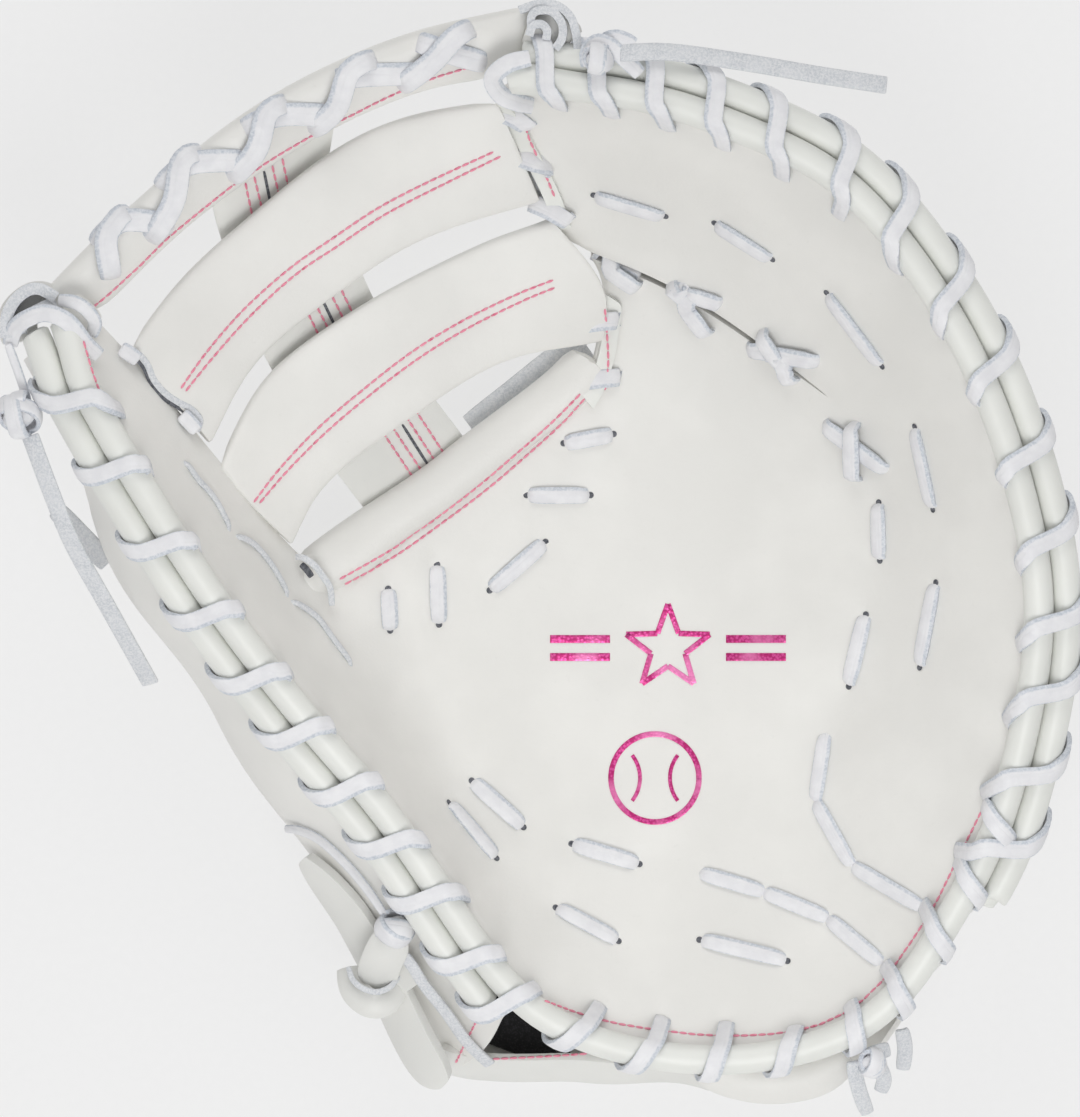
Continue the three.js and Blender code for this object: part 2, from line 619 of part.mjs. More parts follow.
// Binding along the finger panel's edge and the tab at the end of the palm's roll
function edging(from, to, width) {
  const skin = new Skin();
  const lifted = (section, share) => {
    const reach = edgeAt(section).distanceTo(rimAt(section));
    const point = frontFace(section, 1 - (CLEARANCE + (1 - share) * width) / reach);
    const normal = normalOf(frontFace, section, 0.98, FRONT_SIDE);
    return point.addScaledVector(normal, 2 * CLEARANCE + BINDING_THICKNESS);
  };
  const grids = panelGrids(lifted, between(from, to, 9), [0, 0.5, 1], FRONT_SIDE, () => BINDING_THICKNESS);
  skin.wall(grids.outer, grids.inner);
  return skin.geometry();
}

add('finger_binding', edging(17.2, 19.7, BINDING_WIDTH), leather);
add('palm_tab', edging(12.5, 14.8, BINDING_WIDTH), leather);

// A tab or strap that lies on the back leather
function onBack(from, to, share, halfShare, lift, thickness, pointed) {
  const skin = new Skin();
  const face = (section, across) => {
    const way = (section - from) / (to - from);
    const round = pointed ? Math.sqrt(Math.max(0.12, 1 - (2 * way - 1) ** 4)) : 1;
    const at = share + (2 * across - 1) * halfShare * round;
    return backFace(section, at)
      .addScaledVector(normalOf(backFace, section, at, BACK_SIDE), lift + thickness);
  };
  const grids = panelGrids(face, between(from, to, pointed ? 10 : 2), between(0, 1, 4), BACK_SIDE,
    () => thickness);
  skin.wall(grids.outer, grids.inner);
  return skin.geometry();
}

// The toggle's tab on the thumb's back leather, from one section to another at a share of the leather
const TOGGLE = { from: 4.02, to: 5.27, share: 0.15 };
const TOGGLE_LOOP = { from: 4.7, to: 4.84, overhang: 1.6 };
const nearShare = backFace(TOGGLE_LOOP.from, TOGGLE.share - 0.05);
const farShare = backFace(TOGGLE_LOOP.from, TOGGLE.share + 0.05);
const toggleHalfShare = TOGGLE_WIDTH / 2 * 0.1 / nearShare.distanceTo(farShare);
add('toggle_tab', onBack(TOGGLE.from, TOGGLE.to, TOGGLE.share, toggleHalfShare, CLEARANCE,
  TOGGLE_THICKNESS, true), leather);
const loopHalfShare = toggleHalfShare * TOGGLE_LOOP.overhang;
add('toggle_loop', onBack(TOGGLE_LOOP.from, TOGGLE_LOOP.to, TOGGLE.share, loopHalfShare,
  3 * CLEARANCE + TOGGLE_THICKNESS, LACE_THICKNESS, false), laces);

// Knots
function knot(name, centre) {
  const geometry = new THREE.IcosahedronGeometry(KNOT_RADIUS, 1);
  const mesh = add(name, geometry, laces);
  mesh.position.copy(centre);
  return mesh;
}

const knotReach = WELT_RADIUS + CLEARANCE + KNOT_RADIUS * 0.95;
knot('top_knot', besideRim(19.3, BACK_ROLL.out, BACK_ROLL.up + knotReach));
knot('thumb_knot', besideRim(0.47, BACK_ROLL.out + knotReach + LACE_THICKNESS * 1.2, BACK_ROLL.up));
knot('heel_knot', besideRim(10.15, knotReach, 0));

// The toggle's knot sits on the back leather
const TOGGLE_KNOT = { section: 4.52, share: 0.05 };
const knotSeat = normalOf(backFace, TOGGLE_KNOT.section, TOGGLE_KNOT.share, BACK_SIDE)
  .multiplyScalar(KNOT_RADIUS + CLEARANCE);
knot('toggle_knot', backFace(TOGGLE_KNOT.section, TOGGLE_KNOT.share).add(knotSeat));

// Free ends of the laces, through points chosen by hand
const FREE_ENDS = {
  top_lace_tail: [
    [23.6, 149.4, 105.2], [38, 149.8, 104.8], [60, 147, 101.5], [82, 143.5, 97], [103, 140.5, 93],
  ],
  thumb_lace_tail: [
    [-151.4, 36.4, 93.4], [-145, 19, 92.5], [-139, 4, 87], [-129, -15, 74], [-117, -38, 56],
  ],
  toggle_lace_tail: [
    [-41, -119.5, 55.2], [-38.2, -123.2, 55.2], [-35, -128.5, 51.8], [-28.5, -137, 47.4],
    [-22, -146.5, 41], [-15, -153.5, 34.5],
  ],
};
for (const [name, points] of Object.entries(FREE_ENDS)) {
  const curve = curveThrough(points.map((point) => new THREE.Vector3(...point)));
  const shape = new THREE.Shape(ROUND_EDGE.map(([a, b]) => new THREE.Vector2(b * LACE_THICKNESS / 2,
    a * LACE_WIDTH / 2)));
  const steps = Math.round(curve.getLength() / (2 * LACE_WIDTH));
  add(name, new THREE.ExtrudeGeometry(shape, { steps, bevelEnabled: false, extrudePath: curve }), laces);
}

// The origin is under the middle of the mitt, free lace ends left out
const box = new THREE.Box3();
for (const mesh of mitt.children) {
  if (!(mesh.name in FREE_ENDS)) box.expandByObject(mesh, true);
}
const middle = box.getCenter(new THREE.Vector3());
mitt.position.set(-middle.x, -middle.y, -box.min.z);

export default mitt;
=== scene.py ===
import math
from contextlib import contextmanager

import bpy
import numpy as np
from mathutils import Euler, Matrix, Vector, noise
from mathutils.bvhtree import BVHTree


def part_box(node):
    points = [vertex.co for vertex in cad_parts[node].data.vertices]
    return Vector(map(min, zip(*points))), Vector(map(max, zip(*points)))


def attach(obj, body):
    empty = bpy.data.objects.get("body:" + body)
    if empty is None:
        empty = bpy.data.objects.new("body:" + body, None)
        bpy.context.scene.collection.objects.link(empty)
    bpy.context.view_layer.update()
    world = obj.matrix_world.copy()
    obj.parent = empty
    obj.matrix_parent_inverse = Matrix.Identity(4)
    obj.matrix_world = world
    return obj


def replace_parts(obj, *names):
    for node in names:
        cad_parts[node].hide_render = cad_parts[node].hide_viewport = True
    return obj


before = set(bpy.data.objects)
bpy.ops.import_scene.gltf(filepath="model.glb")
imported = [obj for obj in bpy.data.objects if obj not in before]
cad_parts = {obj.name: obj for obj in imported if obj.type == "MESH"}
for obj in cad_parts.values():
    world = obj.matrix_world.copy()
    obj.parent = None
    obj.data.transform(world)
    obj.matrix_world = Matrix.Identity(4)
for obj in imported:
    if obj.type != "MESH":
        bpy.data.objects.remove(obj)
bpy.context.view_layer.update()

MM = 0.001
UP = Vector((0, 0, 1))

# The photograph's frame. A pixel is PIXEL metres wide at SCALE_HEIGHT over the floor.
PHOTO_WIDTH = 1080
PHOTO_HEIGHT = 1117
PIXEL = 0.3 * MM
SCALE_HEIGHT = 60 * MM
CAMERA_HEIGHT = 3.0
FLOOR_GLOW = 0.64
FLOOR_SIZE = 8
MIDDLE = Vector((-1.35, 4.08, 0)) * MM  # the photograph's middle, from the mitt's origin
CAMERA = MIDDLE + Vector((0, 0, CAMERA_HEIGHT))
SENSOR = 36.0  # millimetres

# Sizes of the rolled rim and the laces
HALF_WIDTH = 161.5 * MM
HALF_LENGTH = 167 * MM
RIM_HEIGHT = 100 * MM
WELT_RADIUS = 4.4 * MM
TUCK_REACH = 9.5 * MM  # how near the leather's edge lies to the roll that it is tucked under
TUCK_DEPTH = 3.9 * MM
ROLL_ANGLE = -0.38
ROLL_SPACING = 9.15 * MM
LACE_WIDTH = 5.6 * MM
LACE_THICKNESS = 1.5 * MM
WEB_LACE_WIDTH = 7.2 * MM
PALM_LACE_WIDTH = 0.92 * LACE_WIDTH
CHAIN_WIDTH = 0.86 * LACE_WIDTH
THUMB_CHAIN_WIDTH = 2.6 * MM
LACE_CROWN = 0.45 * MM
LACE_SINK = 1.2 * MM  # how deep a lace's end dives into its hole
CHAIN_SINK = 0.6 * MM
LACE_RISE = 1.1 * MM  # how high it comes out
END_DEPTH = 3 * MM  # how deep a loop's hidden end goes
ACROSS = 4  # a strip's faces across, and its rows along
LACE_ROWS = 18
RIM_LACE_ROWS = 26
EDGE_LACE_ROWS = 20
KNOT_ROWS = 30
TAIL_POINTS = 24
TAIL_CROWN = 0.15 * MM
TAIL_WIDTH = 5.4 * MM
TAIL_THICKNESS = 1.4 * MM
THIN_TAIL_WIDTH = 3.9 * MM
STITCH_LENGTH = 2.5 * MM
STITCH_RADIUS = 0.25 * MM
STITCH_PITCH = 1.06  # stitch lengths from one stitch to the next
SEAM_POINTS = 24
STITCH_LIFT = 0.8 * STITCH_RADIUS
# the size and lift of the dark discs of painted shade at the lace holes
HOLE_SHADE_RADIUS = 1.0 * MM
HOLE_SHADE_LIFT = 0.18 * MM
SLIT_WIDTH = 0.9 * MM
SLIT_LIFT = 0.25 * MM
SLIT_THICKNESS = 0.3 * MM
HOLE_REACH = 0.5  # pixels from a lace's end to the middle of its hole
DENT_DEPTH = 0.9 * MM
DENT_WIDTH = 13  # pixels
FOIL_WIDTH = 1.7 * MM
FOIL_LIFT = 0.22 * MM
FOIL_THICKNESS = 0.15 * MM
ROLL_SWELL = 0.5 * MM  # how far soft pieces swell past the carried model
TOP_BAR_SWELL = 0.3 * MM
PALM_ROLL_SWELL = 2.2 * MM
TOGGLE_SWELL = 0.2 * MM
SWAY = 0.7 * MM  # the palm's unevenness, and how wide its waves are
SWAY_WIDTH = 28 * MM
FOLD_POINTS = 40
SHEET_CREASE = 60  # degrees over which an edge stays crisp, on sheets and on bars
BAR_CREASE = 80
LINING_SHIFT = Vector((0, -2.5, 5)) * MM
LINING_END = (575, 1020)  # pixel beyond which the lining is hidden behind the wrist band

# The rim of the front leather from the thumb tip round the heel to the finger tip,
# in half widths, half lengths and rim heights
RIM = [
    (-0.884, 0.391, 0.96), (-0.772, 0.193, 0.96), (-0.603, -0.068, 0.89), (-0.443, -0.274, 0.80),
    (-0.279, -0.464, 0.71), (-0.093, -0.730, 0.62), (0.000, -0.822, 0.59), (0.130, -0.877, 0.57),
    (0.279, -0.902, 0.56), (0.428, -0.896, 0.57), (0.567, -0.858, 0.59), (0.668, -0.782, 0.62),
    (0.751, -0.657, 0.67), (0.850, -0.468, 0.74), (0.919, -0.145, 0.84), (0.886, 0.113, 0.90),
    (0.771, 0.397, 0.95), (0.577, 0.650, 0.99), (0.376, 0.759, 1.00), (0.174, 0.822, 0.99),
    (-0.037, 0.846, 0.95),
]
RIM_POINTS = [MIDDLE + Vector((x * HALF_WIDTH, y * HALF_LENGTH, z * RIM_HEIGHT)) for x, y, z in RIM]
LAST_SECTION = len(RIM) - 1

# Free lace ends: the points of the route, in millimetres from the photograph's middle
TOGGLE_TAIL = [
    (-41, -119.5, 55.2), (-38.2, -123.2, 55.2), (-35, -128.5, 51.8), (-28.5, -137, 47.4),
    (-22, -146.5, 41), (-15, -153.5, 34.5),
]
TOP_TAIL = [(23.6, 149.4, 105.2), (38, 149.8, 104.8), (60, 147, 101.5), (82, 143.5, 97), (103, 140.5, 93)]
THUMB_TAIL = [(-151.4, 36.4, 93.4), (-145, 19, 92.5), (-139, 4, 87), (-129, -15, 74), (-117, -38, 56)]

# Laces round the two rolls of the rim: pixel where the lace comes up outside, and its hole inside
THUMB_LOOPS = [
    (36, 382, 121, 412), (68, 466, 146, 475), (110, 543, 193, 551), (157, 612, 240, 618),
    (203, 673, 287, 681), (252, 732, 331, 732), (297, 793, 378, 787), (340, 844, 424, 842),
    (388, 898, 466, 896), (425, 951, 502, 955), (461, 998, 537, 988),
]
FINGER_LOOPS = [
    (1041, 813, 957, 850), (1060, 740, 984, 794), (1077, 649, 1007, 722), (1073, 579, 1019, 645),
    (1064, 497, 1020, 569), (1041, 413, 1006, 484), (1000, 325, 981, 405), (951, 243, 940, 333),
    (880, 178, 898, 271), (818, 133, 839, 215), (755, 98, 783, 177), (690, 70, 724, 147),
    (634, 52, 669, 128), (575, 48, 613, 115), (530, 46, 561, 107),
]
# Laces round the single roll of the heel, and the two that cross others beside it
HEEL_LOOPS = [
    (547, 1042, 600, 1006), (622, 1064, 663, 1019), (703, 1074, 727, 1024), (770, 1074, 797, 1027),
    (853, 1062, 851, 1003), (903, 1018, 886, 965), (946, 962, 924, 904), (976, 910, 959, 858),
    (1008, 858, 986, 803),
]
# Laces that lie in the leather, each from hole to hole
PALM_LACES = [
    (594, 195, 665, 216), (715, 223, 772, 259), (827, 293, 882, 366), (915, 427, 933, 509),
    (936, 583, 920, 667), (866, 615, 849, 686), (700, 940, 787, 961), (572, 844, 639, 864),
    (556, 908, 618, 941), (472, 781, 523, 827), (449, 803, 496, 858), (564, 443, 613, 434),
    (527, 495, 590, 495), (490, 590, 545, 542), (388, 589, 390, 630), (437, 565, 439, 624),
    (879, 503, 880, 560),
]
CHAINS = [
    [(826, 734), (816, 801), (852, 865), (924, 908)],
    [(700, 873), (764, 892), (828, 918), (882, 963)],
]
# Laces of the thumb, which show their cut edge
THUMB_CHAIN = [
    [(184, 461), (196, 479), (214, 500), (230, 531)],
    [(236, 536), (254, 546), (272, 568), (288, 597)],
    [(291, 601), (315, 617), (331, 638), (352, 666)],
]
# Laces that cross the slit of the palm: one under and one over it
SLIT_LACES_UNDER = [(606, 259, 640, 276), (686, 292, 722, 303), (746, 348, 821, 361), (823, 423, 889, 471)]
SLIT_LACES_OVER = [(594, 254, 640, 287), (671, 280, 710, 335), (762, 329, 796, 383), (856, 421, 856, 481)]
# Laces round the edges beside the web: pixel where the lace comes round the edge, and its hole
EDGE_LOOPS = [
    (498, 112, 530, 126), (516, 156, 548, 169), (534, 204, 568, 220), (586, 324, 616, 320),
    (586, 381, 618, 377),
]
# The web's lace: strands that cross under, then those over them, from the lower hole up to the top
WEB_STRANDS_UNDER = [
    [(86, 238), (122, 218), (172, 222)], [(156, 186), (188, 161), (242, 157)],
    [(240, 126), (277, 112), (330, 112)], [(332, 76), (366, 72), (424, 70)],
    [(414, 38), (442, 48), (484, 60)],
]
WEB_STRANDS_OVER = [
    [(108, 276), (104, 240), (109, 214), (124, 204)], [(146, 238), (169, 200), (178, 160), (199, 148)],
    [(226, 176), (252, 147), (264, 112), (284, 99)], [(306, 128), (332, 105), (346, 70), (373, 55)],
    [(395, 84), (428, 59), (450, 36), (470, 24)],
]

# Laces and cut edges that stand free, and strips of painted shade in gaps: pixel across, pixel down and
# height in millimetres
TIP_LACE = [
    (10, 346, 88), (14, 330, 95), (26, 319, 99), (46, 313, 101), (68, 322, 101), (86, 344, 97),
    (100, 356, 93),
]
TIP_FOLD = [(58, 300, 96), (74, 302, 99), (87, 310, 99), (95, 323, 96), (91, 336, 92)]
TIP_BACK_LACE = [(8, 344, 92), (14, 360, 91), (21, 380, 90), (28, 402, 88)]
TIP_CUT_EDGES = [
    [(56, 298, 96), (40, 289, 97), (26, 291, 97), (13, 303, 96), (6, 320, 95), (6, 338, 93)],
    [(56, 302, 95), (44, 307, 96), (31, 314, 96), (22, 323, 95), (21, 334, 93)],
]
SPIRAL_EDGES = [
    [(519, 10, 97), (538, 4, 99), (556, 5, 100), (570, 16, 100), (576, 33, 99), (578, 50, 97)],
    [(531, 28, 98), (532, 15, 99), (541, 10, 100), (553, 12, 100), (562, 24, 100), (562, 38, 99),
     (555, 49, 98)],
    [(529, 36, 98), (533, 26, 99), (541, 24, 99), (547, 30, 99), (546, 40, 98)],
]
SPIRAL_FLOOR = [(528, 24, 93), (540, 28, 94), (558, 34, 94), (568, 44, 93)]
TIP_FLOOR = [(52, 302, 89), (34, 302, 89), (18, 318, 88), (20, 342, 87)]
TIP_CORNER = [(64, 306, 90), (78, 311, 90), (92, 326, 89)]
FINGER_TIP_LACE = [
    (530, 58, 101), (508, 64, 101), (493, 78, 98), (500, 94, 94), (516, 102, 92), (533, 106, 89),
]
TOP_FOLD = [(588, 66, 101), (588, 52, 104), (597, 42, 105), (610, 46, 105), (626, 60, 104), (640, 74, 102)]
TOP_TURN = [(604, 41, 102), (618, 39, 104), (634, 46, 104)]
BAR_2_CUT_EDGE = [
    (125, 350, 80.5), (137, 353, 80), (147, 364, 79), (154, 380, 77), (165, 393, 75), (178, 402, 73),
    (191, 409, 71), (200, 420, 70), (197, 432, 68.5),
]
# painted shade: a dark strip in the gap beside the bar's cut edge
BAR_2_GAP_SHADE = [
    (136, 359, 79.2), (144, 368, 78.2), (151, 383, 76.2), (162, 397, 74.2), (176, 406, 72), (187, 413, 70.6),
]
# painted shade: a suede-grey strip that darkens the gap beside the finger binding
BINDING_GAP_SHADE = [(500, 108, 76), (512, 136, 72), (528, 174, 66), (545, 210, 60)]
BAR_2_LACES = [[(121, 348, 84), (139, 360, 82)], [(182, 414, 73), (198, 431, 71)]]
PALM_CUT_EDGE = [
    (295, 557, 48), (304, 558, 50), (316, 567, 50), (324, 578, 49), (330, 588, 48), (332, 606, 46),
]
# painted shade: a dark strip in the gap under the palm roll's end
PALM_GAP_SHADE = [(301, 564, 48.5), (306, 569, 48.5), (312, 577, 47.5)]
BACK_STRAPS = [
    [(468, 424, 34), (505, 396, 34), (545, 364, 34), (592, 328, 34)], [(576, 348, 36), (594, 376, 36)],
    [(56, 510, 60), (80, 535, 58), (108, 564, 56)],
]
TOGGLE_LACE = [
    (285, 829, 44), (298, 830, 49), (320, 840, 53.5), (347, 865, 55), (368, 890, 56), (384, 914, 57),
]
TOGGLE_FOLD = [(397, 932, 57), (388, 948, 56), (380, 966, 53), (375, 986, 47)]
TOGGLE_LOOP_FACE = [(350, 968, 43), (355, 990, 48), (370, 1003, 50), (386, 1000, 49), (399, 978, 45)]
TOGGLE_CUT_EDGE = [
    (348, 966, 49), (353, 980, 51.5), (364, 989, 53), (378, 992, 53), (391, 986, 52), (400, 974, 49),
]
HEEL_ENDS = [
    [(853, 1062, 58), (856, 1078, 55), (861, 1096, 51), (868, 1114, 46)],
    [(868, 1058, 57), (879, 1067, 56), (884, 1080, 52), (880, 1092, 48)],
    [(866, 1056, 58), (878, 1052, 59), (890, 1049, 57)],
    [(902, 1030, 56), (905, 1048, 52), (903, 1070, 46)],
]
HEEL_PAD = [(694, 1062, 44), (724, 1072, 44), (768, 1080, 44), (812, 1074, 44), (850, 1056, 44)]

# Places where a piece is drawn out to meet what it joins: a pixel, the pixel where it goes to,
# the reach in pixels, and the height in millimetres from which the piece stays as it is
ALL = 200  # over every piece
CEILING_FADE = 20 * MM
PULLS = {
    "front_leather": [((534, 112), (524, 104), 70, ALL)],
    "thumb_back_leather": [((442, 1042), (480, 1058), 130, ALL), ((135, 570), (112, 580), 170, 86)],
    "finger_back_leather": [
        ((790, 1120), (784, 1098), 120, ALL), ((962, 1012), (934, 992), 110, ALL),
        ((712, 1110), (726, 1080), 80, ALL), ((988, 924), (964, 912), 70, ALL),
    ],
    "front_roll": [((55, 339), (60, 320), 60, ALL), ((533, 72), (518, 66), 50, ALL)],
    "back_roll_thumb": [((34, 350), (36, 330), 60, ALL)],
    "back_roll_fingers": [((974, 948), (990, 902), 60, ALL)],
    "top_bar": [((512, 52), (522, 60), 40, ALL)],
    "bar_2": [((225, 225), (232, 236), 190, ALL)],
    "bar_3": [((575, 278), (606, 285), 95, ALL), ((238, 482), (230, 487), 110, ALL)],
    "palm_roll": [
        ((346, 560), (304, 582), 130, ALL), ((556, 385), (590, 362), 110, ALL),
        ((366, 566), (369, 573), 60, ALL),
    ],
    "upright_strap": [((250, 113), (256, 142), 60, ALL), ((288, 166), (262, 184), 120, ALL)],
    "finger_edge_binding": [((528, 128), (516, 118), 90, ALL)],
    "wrist_band": [((580, 1085), (580, 1063), 170, ALL), ((704, 1108), (704, 1080), 120, ALL)],
    "toggle_strap": [((418, 1030), (428, 1078), 100, ALL), ((318, 868), (302, 856), 70, ALL)],
}

# Stitching, as pixels along each seam
SEAMS = {
    "heel_front": [(547, 1002), (600, 1020), (664, 1031), (726, 1036), (797, 1031), (845, 1013),
                   (880, 984), (910, 944), (935, 905), (955, 865), (975, 825), (995, 785)],
    "bar_2_upper": [
        (183, 385), (208, 350), (245, 308), (290, 268), (330, 240), (378, 208), (430, 181), (495, 151)],
    "bar_2_lower": [
        (188, 388), (214, 356), (252, 314), (296, 274), (336, 247), (384, 215), (436, 188), (497, 158)],
    "bar_3_upper": [
        (256, 499), (280, 468), (318, 428), (360, 392), (410, 353), (460, 322), (515, 295), (553, 280)],
    "bar_3_lower": [
        (262, 500), (287, 471), (324, 434), (366, 398), (416, 360), (466, 329), (520, 302), (556, 287)],
    "palm_roll_upper": [(343, 577), (390, 550), (437, 517), (480, 484), (520, 450), (552, 422), (578, 396)],
    "palm_roll_lower": [(348, 582), (395, 556), (442, 523), (486, 490), (526, 456), (557, 428), (582, 401)],
    "finger_binding_upper": [(522, 122), (529, 138), (537, 156)],
    "finger_binding_lower": [(547, 178), (551, 188), (556, 200)],
    "wrist_band": [(496, 1059), (540, 1057), (585, 1054)],
    "palm_tab": [(605, 312), (607, 335), (608, 365), (604, 394)],
    "thumb_end": [(478, 1018), (468, 1038), (456, 1062)],
    "thumb_edge": [(84, 345), (92, 372), (101, 396)],
}
FLANGE_SEAM = [
    (99, 309), (150, 262), (205, 216), (262, 172), (320, 137), (378, 106), (430, 83), (484, 67),
]
STRAP_SEAMS = {
    "strap_high": [[(246, 186), (252, 215)], [(255, 180), (262, 209)], [(273, 169), (280, 200)],
                   [(283, 162), (289, 191)]],
    "strap_middle": [[(306, 309), (320, 338)], [(315, 303), (330, 332)], [(330, 292), (345, 322)],
                     [(339, 285), (353, 314)]],
    "strap_low": [[(384, 434), (412, 476)], [(393, 428), (421, 470)], [(407, 418), (435, 461)],
                  [(416, 411), (443, 452)]],
}
STRAP_SLITS = [[(264, 171), (270, 201)], [(321, 297), (336, 328)], [(402, 424), (428, 465)]]

# Soft folds of the palm: pixels, width in pixels and depth
FOLDS = [
    ([(826, 720), (816, 801), (852, 865), (924, 904)], 34, 1.6 * MM),
    ([(690, 868), (764, 892), (828, 918), (890, 965)], 30, 1.3 * MM),
    ([(430, 760), (480, 810), (560, 850), (660, 872)], 46, 1.2 * MM),
    ([(470, 880), (540, 950), (640, 980), (760, 985)], 40, -1.6 * MM),
    ([(600, 270), (720, 335), (800, 400), (840, 500)], 40, 1.2 * MM),
    ([(884, 500), (880, 600), (850, 700), (828, 740)], 36, 1.4 * MM),
    ([(300, 560), (370, 640), (430, 720), (470, 800)], 40, 1.0 * MM),
    ([(930, 380), (970, 520), (965, 660), (930, 780)], 55, -1.4 * MM),
]

# Foil marks, in pixels: a ball with its two seams, and a star between bars
BALL = (655, 778)
BALL_RADIUS = 44
SEAM_OFFSET = 52
SEAM_RADIUS = 37
SEAM_TURN = 38  # degrees to each side of its middle
ROUND_AND_ON = 362  # degrees, so that the ball's line closes
STAR = (668, 648)
STAR_RADIUS = 44
STAR_WAIST = 18
STAR_TIPS = 5
BAR_START = 58
BAR_END = 118
BAR_RISE = 9

# A knot's turns of lace: how far each leans, and how round it is
KNOT_TURNS = [(1.25, 1.0), (2.2, 0.86)]
KNOT_TURN = 2.15 * math.pi  # how far round a turn goes
KNOT_RISE = 0.35  # how far it climbs, as a share of the knot's size
KNOT_CORE = 0.72  # the core's radius, as a share of the knot's size
KNOT_SHAPE = (1.15, 0.85, 0.8)

# Knots: name, node, size in millimetres and how each is turned
KNOTS = [
    ("top_lace_knot", "top_knot", 4.4, (0.4, 0.3, 0.2)),
    ("thumb_lace_knot", "thumb_knot", 6.8, (0.2, -0.4, 0.5)),
    ("heel_lace_knot", "heel_knot", 4.2, (0.8, 0.2, 0.1)),
    ("toggle_lace_knot", "toggle_knot", 5.6, (-0.3, 0.5, 0.9)),
]
TOGGLE_KNOT_PIXEL = (395, 929)
TOGGLE_KNOT_HEIGHT = 57 * MM

# Lamps: place, size in metres, power in watts
WORLD_LIGHT = 0.44
LAMPS = [
    ((-0.2, 2.2, 1.7), 1.6, 18),
    ((1.4, -0.4, 2.2), 1.8, 4),
    ((-0.9, -1.8, 1.4), 1.8, 6),
    ((0.05, -0.5, 1.0), 0.5, 4),
]


def deselect():
    if bpy.context.object and bpy.context.object.mode != "OBJECT":
        bpy.ops.object.mode_set(mode="OBJECT")
    bpy.ops.object.select_all(action="DESELECT")


def take(piece):
    deselect()
    piece.select_set(True)
    bpy.context.view_layer.objects.active = piece


@contextmanager
def editing(piece, kind=None):
    """Edit mode on one piece, with its faces or its edges to pick, or as they were picked last"""
    take(piece)
    bpy.ops.object.mode_set(mode="EDIT")
    if kind:
        bpy.ops.mesh.select_mode(type=kind)
    yield
    bpy.ops.object.mode_set(mode="OBJECT")


def modify(piece, kind, **settings):
    """Adds a modifier and applies it"""
    take(piece)
    modifier = piece.modifiers.new(kind.title(), kind)
    for name, value in settings.items():
        setattr(modifier, name, value)
    bpy.ops.object.modifier_apply(modifier=modifier.name)


def join(pieces, name):
    deselect()
    for piece in pieces:
        piece.select_set(True)
    bpy.context.view_layer.objects.active = pieces[0]
    bpy.ops.object.join()
    joined = bpy.context.object
    joined.name = name
    joined.data.name = name
    return joined


def twin_of(piece):
    """A copy of a piece with a mesh of its own"""
    twin = piece.copy()
    twin.data = piece.data.copy()
    bpy.context.scene.collection.objects.link(twin)
    return twin


def wear(piece, finish):
    """Gives a piece its material and its body"""
    piece.data.materials.clear()
    piece.data.materials.append(finish)
    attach(piece, "root")
    return piece


def on_curve(points, place):
    """A place between a list's points, on a smooth curve through them"""
    last = len(points) - 1
    row = max(0, min(int(place), last - 1))
    t = place - row
    before, here, ahead, beyond = (Vector(points[min(last, max(0, row + k))]) for k in (-1, 0, 1, 2))
    slope_here = (ahead - before) / 2
    slope_ahead = (beyond - here) / 2
    return (
        (2 * t**3 - 3 * t**2 + 1) * here + (t**3 - 2 * t**2 + t) * slope_here
        + (3 * t**2 - 2 * t**3) * ahead + (t**3 - t**2) * slope_ahead
    )


def spread(points, count):
    """The same curve as count points, evenly apart"""
    fine = [on_curve(points, k * (len(points) - 1) / 200) for k in range(201)]
    runs = np.concatenate([[0], np.cumsum([(b - a).length for a, b in zip(fine, fine[1:])])])
    wanted = np.linspace(0, runs[-1], count)
    coords = np.array([tuple(p) for p in fine])
    columns = [np.interp(wanted, runs, coords[:, k]) for k in range(coords.shape[1])]
    return [Vector(row) for row in zip(*columns)]


def pixels_along(pixels, count):
    """A smooth line through pixels, as count pixels evenly apart"""
    return [(point.x, point.y) for point in spread([(*pixel, 0) for pixel in pixels], count)]


def length_of(points):
    return sum((b - a).length for a, b in zip(points, points[1:]))


def along_strip(points, directions, rows):
    """The path of a strip with so many rows, and the direction that its face has at each"""
    steps = [k * (len(points) - 1) / (rows - 1) for k in range(rows)]
    faces = [on_curve(directions, step).normalized() for step in steps]
    return [on_curve(points, step) for step in steps], faces


# The rim's directions, and places beside it
def rim_frame(section):
    step = 0.02
    along = on_curve(RIM_POINTS, min(LAST_SECTION, section + step))
    along = (along - on_curve(RIM_POINTS, max(0, section - step))).normalized()
    out = along.cross(UP).normalized()
    return on_curve(RIM_POINTS, section), along, out, out.cross(along).normalized()


BACK_ROLL = Vector((ROLL_SPACING * math.cos(ROLL_ANGLE), ROLL_SPACING * math.sin(ROLL_ANGLE)))


def beside_rim(section, out_by, up_by):
    centre, _, out, up = rim_frame(section)
    return centre + out * out_by + up * up_by


# The camera and the photograph's pixels
def set_camera():
    deselect()
    bpy.ops.object.camera_add(location=CAMERA, rotation=(0, 0, 0))
    camera = bpy.context.object
    camera.data.sensor_fit = "VERTICAL"
    camera.data.sensor_height = SENSOR
    camera.data.lens = SENSOR * (CAMERA_HEIGHT - SCALE_HEIGHT) / (PHOTO_HEIGHT * PIXEL)
    camera.data.clip_start = 0.5
    camera.data.clip_end = 20
    bpy.context.scene.camera = camera


def aim(pixel):
    """From the camera to a pixel, as far as the height of the photograph's scale"""
    across, down = pixel
    return Vector((
        (across - PHOTO_WIDTH / 2) * PIXEL, (PHOTO_HEIGHT / 2 - down) * PIXEL, SCALE_HEIGHT - CAMERA_HEIGHT,
    ))


def at_height(pixel, height):
    """The place that a pixel shows at a height"""
    return CAMERA + aim(pixel) * ((CAMERA_HEIGHT - height) / (CAMERA_HEIGHT - SCALE_HEIGHT))


